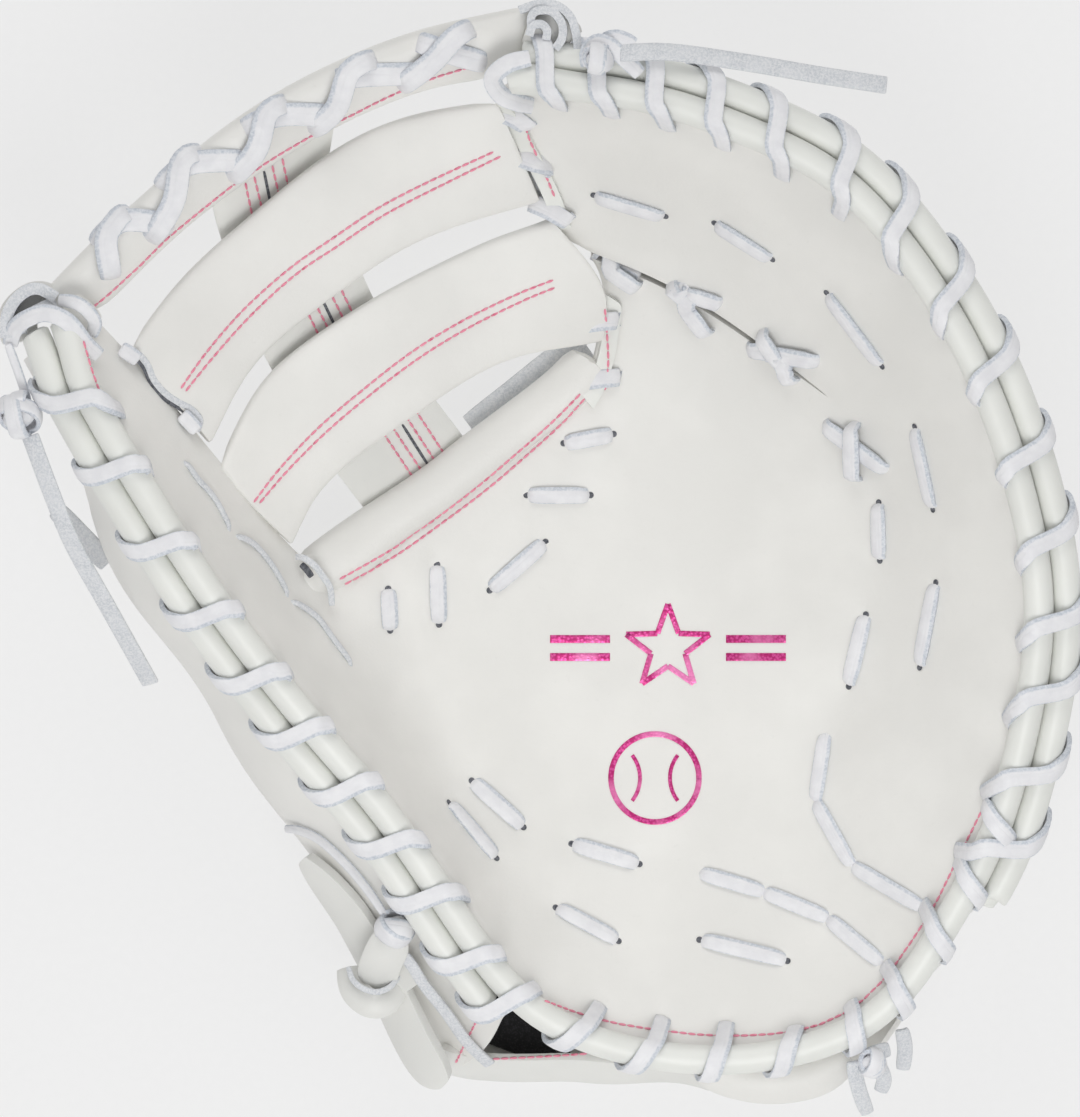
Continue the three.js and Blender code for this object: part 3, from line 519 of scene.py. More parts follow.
def pixels_of(places):
    """Pixels that show an array of places"""
    ahead = (CAMERA_HEIGHT - SCALE_HEIGHT) / (CAMERA_HEIGHT - places[:, 2])
    across = PHOTO_WIDTH / 2 + (places[:, 0] - CAMERA.x) * ahead / PIXEL
    down = PHOTO_HEIGHT / 2 - (places[:, 1] - CAMERA.y) * ahead / PIXEL
    return np.stack([across, down], axis=1)


def skin_of(*pieces):
    """What a ray can meet on some pieces"""
    corners = []
    faces = []
    for piece in pieces:
        first = len(corners)
        corners.extend(v.co.copy() for v in piece.data.vertices)
        faces.extend([first + i for i in face.vertices] for face in piece.data.polygons)
    return BVHTree.FromPolygons(corners, faces)


def seen_at(skin, pixel):
    """The place on a skin that a pixel shows, and the skin's direction there"""
    ray = aim(pixel)
    place, direction, _, _ = skin.ray_cast(CAMERA, ray.normalized())
    if place is None:
        place, direction, _, _ = skin.find_nearest(CAMERA + ray * 0.985)
    if direction.z < 0:
        direction = -direction
    return place, direction


set_camera()


# Laces are grids laid along a path, then thickened
def lay_strip(name, places, directions, width, crown=0.3 * MM, taper=0.0):
    """A strip along places, its face turned to directions, with its ends drawn in by taper"""
    rows = len(places)
    deselect()
    bpy.ops.mesh.primitive_grid_add(x_subdivisions=ACROSS, y_subdivisions=rows - 1, size=2)
    strip = bpy.context.object
    strip.name = name
    for vertex in strip.data.vertices:
        share = (vertex.co.y + 1) / 2
        row = round(share * (rows - 1))
        along = (places[min(rows - 1, row + 1)] - places[max(0, row - 1)]).normalized()
        side = along.cross(directions[row]).normalized()
        face = side.cross(along)
        narrow = 1 - taper * abs(2 * share - 1) ** 5
        across = vertex.co.x
        vertex.co = places[row] + side * (across * width / 2 * narrow) + face * (crown * (1 - across**2))
    return strip


def ribbon(route, width, crown=0.5 * MM, taper=0.15):
    """A strip that faces up, along pixels and heights"""
    places = spread([at_height(point[:2], point[2] * MM) for point in route], 5 * len(route))
    return lay_strip("ribbon", places, [UP] * len(places), width, crown, taper)


def thicken(strip, thickness, round_by=0.5 * MM, steps=2):
    modify(strip, "SOLIDIFY", thickness=thickness, offset=-1)
    modify(strip, "BEVEL", width=round_by, segments=steps, limit_method="ANGLE", angle_limit=math.radians(50))
    take(strip)
    bpy.ops.object.shade_smooth()
    return strip


def made_of(strips, name, thickness, finish):
    return wear(thicken(join(strips, name), thickness), finish)


class Wire:
    """A node's socket that can be reckoned with"""

    def __init__(self, finish, socket):
        self.finish = finish
        self.socket = socket

    def reckon(self, operation, first, second):
        return self.finish.node("Math", {"operation": operation}, {0: first, 1: second})

    def __add__(self, other):
        return self.reckon("ADD", self, other)

    def __sub__(self, other):
        return self.reckon("SUBTRACT", self, other)

    def __rsub__(self, other):
        return self.reckon("SUBTRACT", other, self)

    def __mul__(self, other):
        return self.reckon("MULTIPLY", self, other)

    def __abs__(self):
        return self.reckon("ABSOLUTE", self, 0.0)

    __radd__ = __add__
    __rmul__ = __mul__


class Finish:
    """A surface whose nodes are added one after another"""

    def __init__(self, name):
        self.material = bpy.data.materials.new(name)
        self.material.use_nodes = True
        self.tree = self.material.node_tree
        self.tree.nodes.clear()
        self.place = self.node("TexCoord", {}, {}, "Object")

    def node(self, kind, settings, values, output=0):
        made = self.tree.nodes.new("ShaderNode" + kind)
        for name, value in settings.items():
            setattr(made, name, value)
        for name, value in values.items():
            socket = made.inputs[name]
            if isinstance(value, Wire):
                self.tree.links.new(value.socket, socket)
            else:
                socket.default_value = value
        return Wire(self, made.outputs[output])

    def unwrapped(self):
        """How far across and how far along a strip a point lies"""
        flat = self.node("UVMap", {"uv_map": "UVMap"}, {})
        return [self.node("SeparateXYZ", {}, {0: flat}, name) for name in ("X", "Y")]

    def noise(self, size, detail=4.0, roughness=0.55):
        values = {"Vector": self.place, "Scale": 1 / size, "Detail": detail, "Roughness": roughness}
        return self.node("TexNoise", {}, values, "Fac")

    def cells(self, size):
        return self.node("TexVoronoi", {}, {"Vector": self.place, "Scale": 1 / size}, "Distance")

    def ramp(self, value, low, high):
        return self.node("MapRange", {"interpolation_type": "SMOOTHSTEP"}, {
            "Value": value, "From Min": low, "From Max": high, "To Min": 0.0, "To Max": 1.0})

    def blend(self, share, first, second):
        return self.node("Mix", {"data_type": "RGBA"}, {0: share, 6: first, 7: second}, 2)

    def mottle(self, pattern, low, high, first, second):
        """One colour where a pattern is low and another where it is high"""
        return self.blend(self.ramp(pattern, low, high), first, second)

    def bump(self, height, strength, distance, below=None):
        values = {"Height": height, "Strength": strength, "Distance": distance}
        if below:
            values["Normal"] = below
        return self.node("Bump", {}, values)

    def shine(self, tone, roughness, normal=None, **others):
        """The finished material, with its colour, its roughness, its bump and what else it has"""
        values = {"Base Color": tone, "Roughness": roughness}
        if normal:
            values["Normal"] = normal
        values.update((name.replace("_", " "), value) for name, value in others.items())
        surface = self.node("BsdfPrincipled", {}, values)
        end = self.tree.nodes.new("ShaderNodeOutputMaterial")
        self.tree.links.new(surface.socket, end.inputs["Surface"])
        return self.material


def colour(red, green, blue):
    """A colour as it looks on a screen, 0 to 255, as a surface's own colour"""
    return (*(((v / 255 + 0.055) / 1.055) ** 2.4 for v in (red, green, blue)), 1.0)


def grained_leather(name, light, shade, gloss, pebble):
    """White leather with a fine pebble grain and soft unevenness"""
    finish = Finish(name)
    broad = finish.noise(40 * MM, 3.0)
    fine = finish.noise(2.2 * MM, 5.0)
    pores = finish.cells(0.85 * MM)
    patch = finish.ramp(broad, 0.35, 0.7)
    tone = finish.blend(patch, shade, light)
    tone = finish.blend(finish.ramp(fine, 0.62, 0.85) * 0.25, tone, colour(214, 213, 208))
    rough = 0.08 * fine + gloss
    soft = finish.bump(finish.noise(9 * MM, 3.0), 0.10, 1.6 * MM)
    wrinkled = finish.bump(fine, 0.10, 0.5 * MM, soft)
    grain = finish.bump(pores, pebble, 0.16 * MM, wrinkled)
    return finish.shine(tone, rough, grain, Coat_Weight=0.06, Coat_Roughness=0.35)


def rolled_leather():
    finish = Finish("rolled_leather")
    broad = finish.noise(25 * MM, 3.0)
    fine = finish.noise(1.2 * MM, 4.0)
    tone = finish.mottle(broad, 0.3, 0.7, colour(228, 229, 224), colour(234, 235, 230))
    soft = finish.bump(finish.noise(6 * MM, 2.0), 0.12, 1.0 * MM)
    grain = finish.bump(fine, 0.06, 0.3 * MM, soft)
    return finish.shine(tone, 0.06 * fine + 0.40, grain, Coat_Weight=0.10, Coat_Roughness=0.3)


def rawhide():
    """Lace leather: smooth and white on its face, fuzzy and blue grey at its cut edges"""
    finish = Finish("lace_leather")
    across, _ = finish.unwrapped()
    fuzz = finish.noise(0.9 * MM, 6.0, 0.7)
    wander = finish.noise(5 * MM, 3.0)
    ragged = 0.10 * fuzz + 0.10 * wander
    wide_cut = 1 - finish.ramp(across + ragged, 0.24, 0.36)
    thin_cut = 1 - finish.ramp(1 - across + ragged, 0.09, 0.17)
    cut = wide_cut + thin_cut
    suede = finish.mottle(fuzz, 0.35, 0.65, colour(194, 200, 209), colour(223, 226, 231))
    face = finish.mottle(wander, 0.3, 0.7, colour(229, 229, 232), colour(237, 237, 239))
    tone = finish.blend(cut, face, suede)
    crease = finish.bump(finish.ramp(abs(across - 0.42), 0.0, 0.09), 0.25, 0.3 * MM)
    nap = finish.bump(fuzz, 0.28, 0.35 * MM, crease)
    return finish.shine(tone, 0.25 * cut + 0.55, nap)


def suede_side():
    """The flesh side of the leather"""
    finish = Finish("suede")
    fuzz = finish.noise(0.7 * MM, 6.0, 0.75)
    patch = finish.noise(6 * MM, 3.0)
    dark = finish.mottle(patch, 0.3, 0.7, colour(198, 202, 207), colour(212, 215, 219))
    tone = finish.mottle(fuzz, 0.38, 0.62, dark, colour(228, 229, 231))
    nap = finish.bump(fuzz, 0.45, 0.4 * MM)
    return finish.shine(tone, 0.1 * fuzz + 0.82, nap)


def thread():
    """Pink twisted thread, with painted shade where it dives into the leather"""
    finish = Finish("pink_thread")
    _, along = finish.unwrapped()
    # painted shade at each stitch's ends, where it goes into its hole
    ends = finish.ramp(abs(along - 0.5), 0.28, 0.48)
    speckle = finish.ramp(finish.noise(1.6 * MM, 4.0), 0.5, 0.75)
    tone = finish.blend(speckle, colour(240, 148, 170), colour(214, 100, 128))
    tone = finish.blend(ends * 0.6, tone, colour(134, 78, 90))
    twist = finish.bump(finish.noise(0.35 * MM, 2.0), 0.4, 0.1 * MM)
    return finish.shine(tone, 0.2 * speckle + 0.5, twist)


def foil():
    """Crackled pink foil, with a painted sheen of lighter pink in broad patches"""
    finish = Finish("pink_foil")
    crackle = finish.cells(0.9 * MM)
    painted_sheen = finish.noise(12 * MM, 3.0)
    tone = finish.mottle(crackle, 0.2, 0.7, colour(236, 92, 170), colour(190, 40, 116))
    tone = finish.mottle(painted_sheen, 0.45, 0.7, tone, colour(246, 140, 196))
    dents = finish.bump(crackle, 0.35, 0.2 * MM)
    return finish.shine(tone, 0.25 * crackle + 0.25, dents, Metallic=0.55)


def black_cloth():
    finish = Finish("black_lining")
    weave = finish.cells(0.7 * MM)
    fuzz = finish.noise(3 * MM, 5.0)
    tone = finish.mottle(weave, 0.1, 0.6, colour(44, 44, 47), colour(24, 24, 26))
    tone = finish.blend(finish.ramp(fuzz, 0.5, 0.8) * 0.4, tone, colour(60, 60, 64))
    knit = finish.bump(weave, 0.5, 0.3 * MM)
    return finish.shine(tone, 0.1 * fuzz + 0.8, knit)


# Painted shade: a dark grey that stands in for the shade inside lace holes, strap slits and gaps between
# pieces
def painted_opening_shade():
    finish = Finish("lace_hole")
    fuzz = finish.noise(0.8 * MM, 4.0)
    tone = finish.mottle(fuzz, 0.3, 0.7, colour(70, 72, 78), colour(120, 122, 128))
    return finish.shine(tone, 0.1 * fuzz + 0.85)


def floor_paper():
    finish = Finish("floor_paper")
    fibre = finish.noise(3 * MM, 3.0)
    tone = finish.mottle(fibre, 0.3, 0.7, colour(128, 128, 128), colour(130, 130, 130))
    white = (1.0, 1.0, 1.0, 1.0)
    return finish.shine(tone, 0.05 * fibre + 0.85, Emission_Color=white, Emission_Strength=FLOOR_GLOW)


LEATHER = grained_leather("white_leather", colour(236, 235, 231), colour(230, 229, 225), 0.46, 0.14)
SMOOTH_LEATHER = grained_leather("strap_leather", colour(231, 231, 227), colour(225, 225, 221), 0.44, 0.08)
ROLLED = rolled_leather()
LACE = rawhide()
SUEDE = suede_side()
THREAD = thread()
FOIL = foil()
LINING = black_cloth()
OPENING_SHADE = painted_opening_shade()


# The free lace ends
def lace_tail(name, node, route, facing, width=TAIL_WIDTH):
    points = [MIDDLE + Vector(p) * MM for p in route]
    path = spread(points, TAIL_POINTS)
    strip = lay_strip(name, path, [facing] * len(path), width, crown=TAIL_CROWN)
    thicken(strip, TAIL_THICKNESS)
    wear(strip, SUEDE)
    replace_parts(strip, node)
    middle = [p - facing * TAIL_THICKNESS * 0.4 for p in path]
    length_of(middle)
    return strip


lace_tail("top_lace_end", "top_lace_tail", TOP_TAIL, Vector((0, 0.2, 0.98)))
lace_tail("thumb_lace_end", "thumb_lace_tail", THUMB_TAIL, Vector((-0.35, 0.25, 0.9)))
lace_tail("toggle_lace_end", "toggle_lace_tail", TOGGLE_TAIL, Vector((-0.3, -0.3, 0.9)), THIN_TAIL_WIDTH)


# Leather panels: copies of the carried model's walls, smoothed
def copy_of(node, name):
    deselect()
    piece = twin_of(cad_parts[node])
    piece.name = name
    piece.data.name = name
    piece.parent = None
    for key in [k for k in piece.keys() if k.startswith("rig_")]:
        del piece[key]
    with editing(piece):
        bpy.ops.mesh.select_all(action="SELECT")
        bpy.ops.mesh.remove_doubles(threshold=0.02 * MM)
        bpy.ops.mesh.customdata_custom_splitnormals_clear()
        bpy.ops.mesh.tris_convert_to_quads(face_threshold=math.radians(70), shape_threshold=math.radians(100))
    return piece


def crease_edges(piece, angle):
    with editing(piece, "EDGE"):
        bpy.ops.mesh.select_all(action="DESELECT")
        bpy.ops.mesh.edges_select_sharp(sharpness=math.radians(angle))
        bpy.ops.transform.edge_crease(value=0.9)


def smooth_out(piece, levels):
    modify(piece, "SUBSURF", levels=levels, render_levels=levels)
    take(piece)
    bpy.ops.object.shade_smooth_by_angle(angle=math.radians(50))


RIM_SAMPLES = [k * LAST_SECTION / 400 for k in range(401)]
FRONT_LINE = np.array([tuple(beside_rim(s, 0, 0)) for s in RIM_SAMPLES])
BACK_LINE = np.array([tuple(beside_rim(s, BACK_ROLL.x, BACK_ROLL.y)) for s in RIM_SAMPLES])


def nearest_on(line, place):
    gaps = np.linalg.norm(line - np.array(place), axis=1)
    return Vector(line[gaps.argmin()]), gaps.min()


def pick_faces(piece, wanted):
    """Selects the faces that pass a test, with their corners"""
    take(piece)
    for part in (*piece.data.vertices, *piece.data.edges):
        part.select = False
    for face in piece.data.polygons:
        face.select = wanted(face)
        if face.select:
            for index in face.vertices:
                piece.data.vertices[index].select = True


def tuck_under_roll(piece, line, reach, depth):
    """Draws out the leather's edge beside a roll, so that it ends under the roll"""
    def faces_roll(face):
        roll, gap = nearest_on(line, face.center)
        return gap < reach and face.normal.dot((roll - face.center).normalized()) > 0.7

    pick_faces(piece, faces_roll)
    with editing(piece, "FACE"):
        bpy.ops.mesh.extrude_region_move()
    for vertex in piece.data.vertices:
        if vertex.select:
            roll, gap = nearest_on(line, vertex.co)
            vertex.co = vertex.co + (roll - vertex.co).normalized() * depth


def bend_skin(piece, folds, dents, unevenness):
    """Presses folds and the dents round lace holes into leather, and makes it a little uneven"""
    count = len(piece.data.vertices)
    places = np.empty(count * 3)
    piece.data.vertices.foreach_get("co", places)
    places = places.reshape(-1, 3)
    pixels = pixels_of(places)
    drop = np.zeros(count)
    for line, width, depth in folds:
        points = np.array(pixels_along(line, FOLD_POINTS))
        gap = np.min(np.linalg.norm(pixels[:, None, :] - points[None, :, :], axis=2), axis=1)
        drop += depth * np.exp(-((gap / width) ** 2))
    for dent in dents:
        gap = np.linalg.norm(pixels - np.array(dent), axis=1)
        drop += DENT_DEPTH * np.exp(-((gap / DENT_WIDTH) ** 2))
    sway = np.array([noise.noise(Vector(p) / SWAY_WIDTH) for p in places])
    places[:, 2] -= drop - unevenness * sway
    piece.data.vertices.foreach_set("co", places.ravel())
    piece.data.update()


def pull(piece):
    """Draws a piece's ends from one pixel to another, less and less as far as a reach"""
    for end, goal, reach, ceiling in PULLS.get(piece.name, []):
        move = at_height(goal, SCALE_HEIGHT) - at_height(end, SCALE_HEIGHT)
        places = np.array([tuple(vertex.co) for vertex in piece.data.vertices])
        gaps = np.linalg.norm(pixels_of(places) - np.array(end), axis=1)
        for vertex, gap in zip(piece.data.vertices, gaps):
            if gap < reach:
                below = min(1.0, max(0.0, (ceiling * MM - vertex.co.z) / CEILING_FADE))
                vertex.co += move * below * (0.5 + 0.5 * math.cos(math.pi * gap / reach))


PALM_HOLES = [(x, y) for a, b, c, d in PALM_LACES for x, y in ((a, b), (c, d))]
RIM_HOLES = [(c, d) for _, _, c, d in THUMB_LOOPS + FINGER_LOOPS + HEEL_LOOPS[:7]]

front = copy_of("front_shell", "front_leather")
tuck_under_roll(front, FRONT_LINE, TUCK_REACH, TUCK_DEPTH)
crease_edges(front, SHEET_CREASE)
smooth_out(front, 3)
bend_skin(front, FOLDS, PALM_HOLES + RIM_HOLES, SWAY)
pull(front)
wear(front, LEATHER)
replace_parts(front, "front_shell")

backs = []
for node, name in (("thumb_back", "thumb_back_leather"), ("finger_back", "finger_back_leather")):
    back = copy_of(node, name)
    tuck_under_roll(back, BACK_LINE, TUCK_REACH, TUCK_DEPTH)
    crease_edges(back, SHEET_CREASE)
    smooth_out(back, 2)
    pull(back)
    wear(back, LEATHER)
    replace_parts(back, node)
    backs.append(back)


def soft_copy(node, name, levels, swell, finish, creased):
    piece = copy_of(node, name)
    if creased:
        crease_edges(piece, creased)
    smooth_out(piece, levels)
    if swell:
        with editing(piece):
            bpy.ops.mesh.select_all(action="SELECT")
            bpy.ops.transform.shrink_fatten(value=swell)
    pull(piece)
    wear(piece, finish)
    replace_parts(piece, node)
    return piece


# The rolled seams, the web, the bound edges, the wrist strap and the toggle: node, piece,
# how often it is smoothed, its swell, its surface, and the angle of the edges that stay crisp
SOFT_COPIES = [
    ("front_welt", "front_roll", 2, ROLL_SWELL, ROLLED, BAR_CREASE),
    ("back_welt_thumb", "back_roll_thumb", 2, ROLL_SWELL, ROLLED, BAR_CREASE),
    ("back_welt_fingers", "back_roll_fingers", 2, ROLL_SWELL, ROLLED, BAR_CREASE),
    ("web_top_bar", "top_bar", 3, TOP_BAR_SWELL, LEATHER, 0),
    ("web_bar_2", "bar_2", 3, 0, LEATHER, BAR_CREASE),
    ("web_bar_3", "bar_3", 3, 0, LEATHER, BAR_CREASE),
    ("palm_top_roll", "palm_roll", 2, PALM_ROLL_SWELL, LEATHER, BAR_CREASE),
    ("web_strap", "upright_strap", 2, 0, SMOOTH_LEATHER, SHEET_CREASE),
    ("finger_binding", "finger_edge_binding", 2, 0, ROLLED, SHEET_CREASE),
    ("palm_tab", "palm_edge_tab", 2, 0, ROLLED, SHEET_CREASE),
    ("wrist_strap", "wrist_band", 2, 0, SMOOTH_LEATHER, SHEET_CREASE),
    ("toggle_tab", "toggle_strap", 2, 0, SMOOTH_LEATHER, SHEET_CREASE),
]
soft = {row[1]: soft_copy(*row) for row in SOFT_COPIES}


def show_lining():
    """The lining as far as it shows beside the thumb"""
    def hidden(face):
        across, down = pixels_of(np.array([tuple(face.center)]))[0]
        return across > LINING_END[0] and down > LINING_END[1]

    lining = copy_of("hand_lining", "black_lining")
    pick_faces(lining, hidden)
    with editing(lining, "FACE"):
        bpy.ops.mesh.delete(type="FACE")
    for vertex in lining.data.vertices:
        vertex.co += LINING_SHIFT
    wear(lining, LINING)
    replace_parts(lining, "hand_lining")


show_lining()

ALL_SKIN = skin_of(front, *backs, *soft.values())
LEATHER_SKIN = skin_of(front, *backs)
WEB_SKIN = skin_of(soft["top_bar"])
STRAP_SKIN = skin_of(soft["upright_strap"])


# Laces over the rim: the roll that a lace touches, 0 or 1, and where round it, in degrees
ROLL_REACH = WELT_RADIUS + LACE_THICKNESS + 0.35 * MM
ANGLES_OVER_TWO = [(0, 150), (0, 122), (0, 96), (1, 84), (1, 48), (1, 14), (1, -20), (1, -50)]
ANGLES_OVER_ONE = [(0, 150), (0, 122), (0, 96), (0, 68), (0, 40), (0, 10), (0, -25), (0, -60)]


def section_at(line, pixel):
    gaps = np.linalg.norm(pixels_of(line) - np.array(pixel), axis=1)
    return RIM_SAMPLES[int(gaps.argmin())]


def loop_over_rim(outer, inner, double):
    """A lace from its hole in the front leather over the rolls to the back leather"""
    hole, hole_direction = seen_at(LEATHER_SKIN, inner)
    near = section_at(FRONT_LINE, inner)
    far = section_at(BACK_LINE if double else FRONT_LINE, outer)
    angles = ANGLES_OVER_TWO if double else ANGLES_OVER_ONE
    places = [hole - hole_direction * LACE_SINK, hole + hole_direction * LACE_RISE]
    directions = [hole_direction, hole_direction]
    for k, (roll, degrees) in enumerate(angles):
        section = near + (far - near) * (k + 1) / len(angles)
        _, _, out, up = rim_frame(section)
        angle = math.radians(degrees)
        spoke = out * math.cos(angle) + up * math.sin(angle)
        centre = beside_rim(section, BACK_ROLL.x * roll, BACK_ROLL.y * roll)
        places.append(centre + spoke * ROLL_REACH)
        directions.append(spoke)
    places.append(places[-1] - directions[-1] * END_DEPTH)
    directions.append(directions[-1])
    path, facing = along_strip(places, directions, RIM_LACE_ROWS)
    return lay_strip("loop", path, facing, LACE_WIDTH, crown=LACE_CROWN, taper=0.35)


for table, double, name, node in (
    (THUMB_LOOPS, True, "rim_laces_thumb", "edge_lace_thumb"),
    (FINGER_LOOPS, True, "rim_laces_fingers", "edge_lace_fingers"),
    (HEEL_LOOPS, False, "rim_laces_heel", "edge_lace_heel"),
):
    strips = [loop_over_rim((a, b), (c, d), double) for a, b, c, d in table]
    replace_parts(made_of(strips, name, LACE_THICKNESS, LACE), node)


def inside(skin, pixel, step, margin=3):
    """The nearest pixel in a direction that shows a skin a few steps inside its outline"""
    across, down = pixel
    while skin.ray_cast(CAMERA, aim((across, down)).normalized())[0] is None:
        across += step[0]
        down += step[1]
    return across + margin * step[0], down + margin * step[1]


def lace_on(skin, pixels, width, lift, sink=LACE_SINK, upright=0.0, bridge=0, taper=0.3, crown=0.6 * MM):
    """A lace that lies on a skin along pixels, and dives into it at both ends"""
    rows = LACE_ROWS
    places = []
    directions = []
    seen = [seen_at(skin, pixel) for pixel in pixels_along(pixels, rows)]
    for k, (place, direction) in enumerate(seen):
        near = [other.z for other, _ in seen[max(0, k - bridge):k + bridge + 1]]
        place = Vector((place.x, place.y, (max(near) + sum(near) / len(near)) / 2))
        direction = (direction + UP * upright).normalized()
        from_end = min(k, rows - 1 - k) / (rows - 1)
        rise = min(1.0, from_end / 0.1)
        height = -sink + (lift + sink) * (1 - (1 - rise) ** 2)
        places.append(place + direction * height)
        directions.append(direction)
    calm = [
        (directions[max(0, k - 1)] + directions[k] * 2 + directions[min(rows - 1, k + 1)]).normalized()
        for k in range(rows)
    ]
    return lay_strip("lace", places, calm, width, crown=crown, taper=taper)


palm_strips = [
    lace_on(LEATHER_SKIN, [(a, b), (c, d)], PALM_LACE_WIDTH, LACE_THICKNESS * 0.75)
    for a, b, c, d in PALM_LACES
]
for chain in CHAINS:
    for start, end in zip(chain, chain[1:]):
        strip = lace_on(LEATHER_SKIN, [start, end], CHAIN_WIDTH, LACE_THICKNESS * 0.7, CHAIN_SINK)
        palm_strips.append(strip)
made_of(palm_strips, "palm_laces", LACE_THICKNESS, LACE)
thumb_strips = [
    lace_on(LEATHER_SKIN, route, THUMB_CHAIN_WIDTH, 0.8 * MM, CHAIN_SINK) for route in THUMB_CHAIN
]
made_of(thumb_strips, "thumb_laces", LACE_THICKNESS, SUEDE)

slit_strips = []
for table, lift, bridge in (
    (SLIT_LACES_UNDER, LACE_THICKNESS, 3),
    (SLIT_LACES_OVER, 2.3 * LACE_THICKNESS, 4),
):
    for a, b, c, d in table:
        slit_strips.append(lace_on(LEATHER_SKIN, [(a, b), (c, d)], LACE_WIDTH, lift, bridge=bridge))
made_of(slit_strips, "slit_laces", LACE_THICKNESS, LACE)


def loop_over_edge(outer, inner):
    """A lace from its hole to the leather's edge and round it"""
    hole, facing = seen_at(ALL_SKIN, inner)
    level = hole.z + 1.6 * LACE_THICKNESS
    edge = at_height(outer, level)
    out = edge - hole
    out.z = 0
    out.normalize()
    places = [
        hole - facing * 1.5 * MM, hole + facing * 1.2 * MM, hole.lerp(edge, 0.5) + UP * 2 * MM,
        edge, edge + out * MM - UP * 3 * MM, edge - out * MM - UP * 6 * MM,
    ]
    directions = [facing, facing, UP, (UP + out).normalized(), out, out - UP]
    path, facing = along_strip(places, directions, EDGE_LACE_ROWS)
    return lay_strip("loop", path, facing, LACE_WIDTH, crown=LACE_CROWN, taper=0.2)


edge_strips = [loop_over_edge((a, b), (c, d)) for a, b, c, d in EDGE_LOOPS]
made_of(edge_strips, "web_side_laces", LACE_THICKNESS, LACE)

web_strips = []
for routes, lift in ((WEB_STRANDS_UNDER, LACE_THICKNESS), (WEB_STRANDS_OVER, 2.4 * LACE_THICKNESS)):
    for route in routes:
        shown = [inside(WEB_SKIN, pixel, (1, 1)) for pixel in route]
        strip = lace_on(WEB_SKIN, shown, WEB_LACE_WIDTH, lift, upright=2.5, bridge=2, taper=0.12)
        web_strips.append(strip)
made_of(web_strips, "web_laces", LACE_THICKNESS, LACE)

# Strips that stand free: name, thickness, crown, taper and surface, then each one's width and route
STRIPS = [
    ("thumb_tip_laces", 1.5, 0.5, 0.15, LACE,
     [(5.6, TIP_LACE), (4.5, TIP_FOLD), (3.1, TIP_BACK_LACE)]),
    ("top_turns", 1.5, 0.5, 0.15, LACE, [(5.0, TOP_FOLD), (5.6, TOP_TURN), (5.6, FINGER_TIP_LACE)]),
    ("bar_2_laces", 1.5, 0.5, 0.15, LACE, [(5.0, route) for route in BAR_2_LACES]),
    ("thumb_tip_cut_edges", 7, 0, 0, SUEDE, [(3.6, route) for route in TIP_CUT_EDGES]),
    ("top_bar_spiral", 5, 0, 0, SUEDE, [(2.5, route) for route in SPIRAL_EDGES]),
    ("top_bar_inside", 2, 0.5, 0.15, LEATHER,
     [(13, SPIRAL_FLOOR), (12, TIP_FLOOR), (9, TIP_CORNER)]),
    ("cut_edges", 2, 0, 0.15, SUEDE, [(2, BAR_2_CUT_EDGE), (2, PALM_CUT_EDGE)]),
    # dark strips of painted shade in the gaps beside the bar and under the palm roll
    ("painted_gap_shade", 0.5, 0, 0.15, OPENING_SHADE, [(1.4, BAR_2_GAP_SHADE), (2, PALM_GAP_SHADE)]),
    # a suede-grey strip of painted shade in the gap beside the finger binding
    ("binding_gap_shade", 0.5, 0, 0.15, SUEDE, [(7, BINDING_GAP_SHADE)]),
    ("back_straps", 2, 0, 0.15, SUEDE, [(6.5, route) for route in BACK_STRAPS]),
    ("heel_lace_ends", 1.5, 0.5, 0.15, SUEDE, [(5, route) for route in HEEL_ENDS]),
    ("heel_pad", 2, 4, 0.5, LEATHER, [(15, HEEL_PAD)]),
    ("toggle_lace", 1.2, 0.5, 0.15, LACE, [(3.2, TOGGLE_LACE)]),
    ("toggle_fold", 2.2, 1.5, 0.45, SMOOTH_LEATHER, [(13, TOGGLE_FOLD)]),
    ("toggle_loop_face", 2.2, 1, 0.1, SMOOTH_LEATHER, [(9, TOGGLE_LOOP_FACE)]),
    ("toggle_loop_edge", 3, 0, 0.15, SUEDE, [(1.8, TOGGLE_CUT_EDGE)]),
]
for name, thickness, crown, taper, finish, strips in STRIPS:
    ribbons = [ribbon(route, width * MM, crown * MM, taper) for width, route in strips]
    made_of(ribbons, name, thickness * MM, finish)


# Lace holes, as dark discs of painted shade
def punch(skin, pixels, name):
    """Dark round discs at pixels of a skin, painted shade inside the lace holes"""
    discs = []
    deselect()
    bpy.ops.mesh.primitive_circle_add(vertices=14, radius=HOLE_SHADE_RADIUS, fill_type="TRIFAN")
    pattern = bpy.context.object
    for pixel in pixels:
        place, direction = seen_at(skin, pixel)
        disc = twin_of(pattern)
        turn = direction.to_track_quat("Z", "Y").to_matrix().to_4x4()
        disc.data.transform(Matrix.Translation(place + direction * HOLE_SHADE_LIFT) @ turn)
        discs.append(disc)
    bpy.data.objects.remove(pattern)
    return wear(join(discs, name), OPENING_SHADE)


def beyond(start, end, reach):
    """The pixel a little past the end of a line"""
    start, end = np.array(start), np.array(end)
    return tuple(end + (end - start) / np.linalg.norm(end - start) * reach)


hole_pixels = [beyond((a, b), (c, d), HOLE_REACH) for a, b, c, d in FINGER_LOOPS + PALM_LACES]
hole_pixels += [beyond((c, d), (a, b), HOLE_REACH) for a, b, c, d in PALM_LACES]
punch(LEATHER_SKIN, hole_pixels, "painted_lace_hole_shade")

# Dark lines of painted shade: the slits of the straps
slit_shade_lines = [lace_on(STRAP_SKIN, route, SLIT_WIDTH, SLIT_LIFT, 0, crown=0) for route in STRAP_SLITS]
made_of(slit_shade_lines, "painted_strap_slit_shade", SLIT_THICKNESS, OPENING_SHADE)


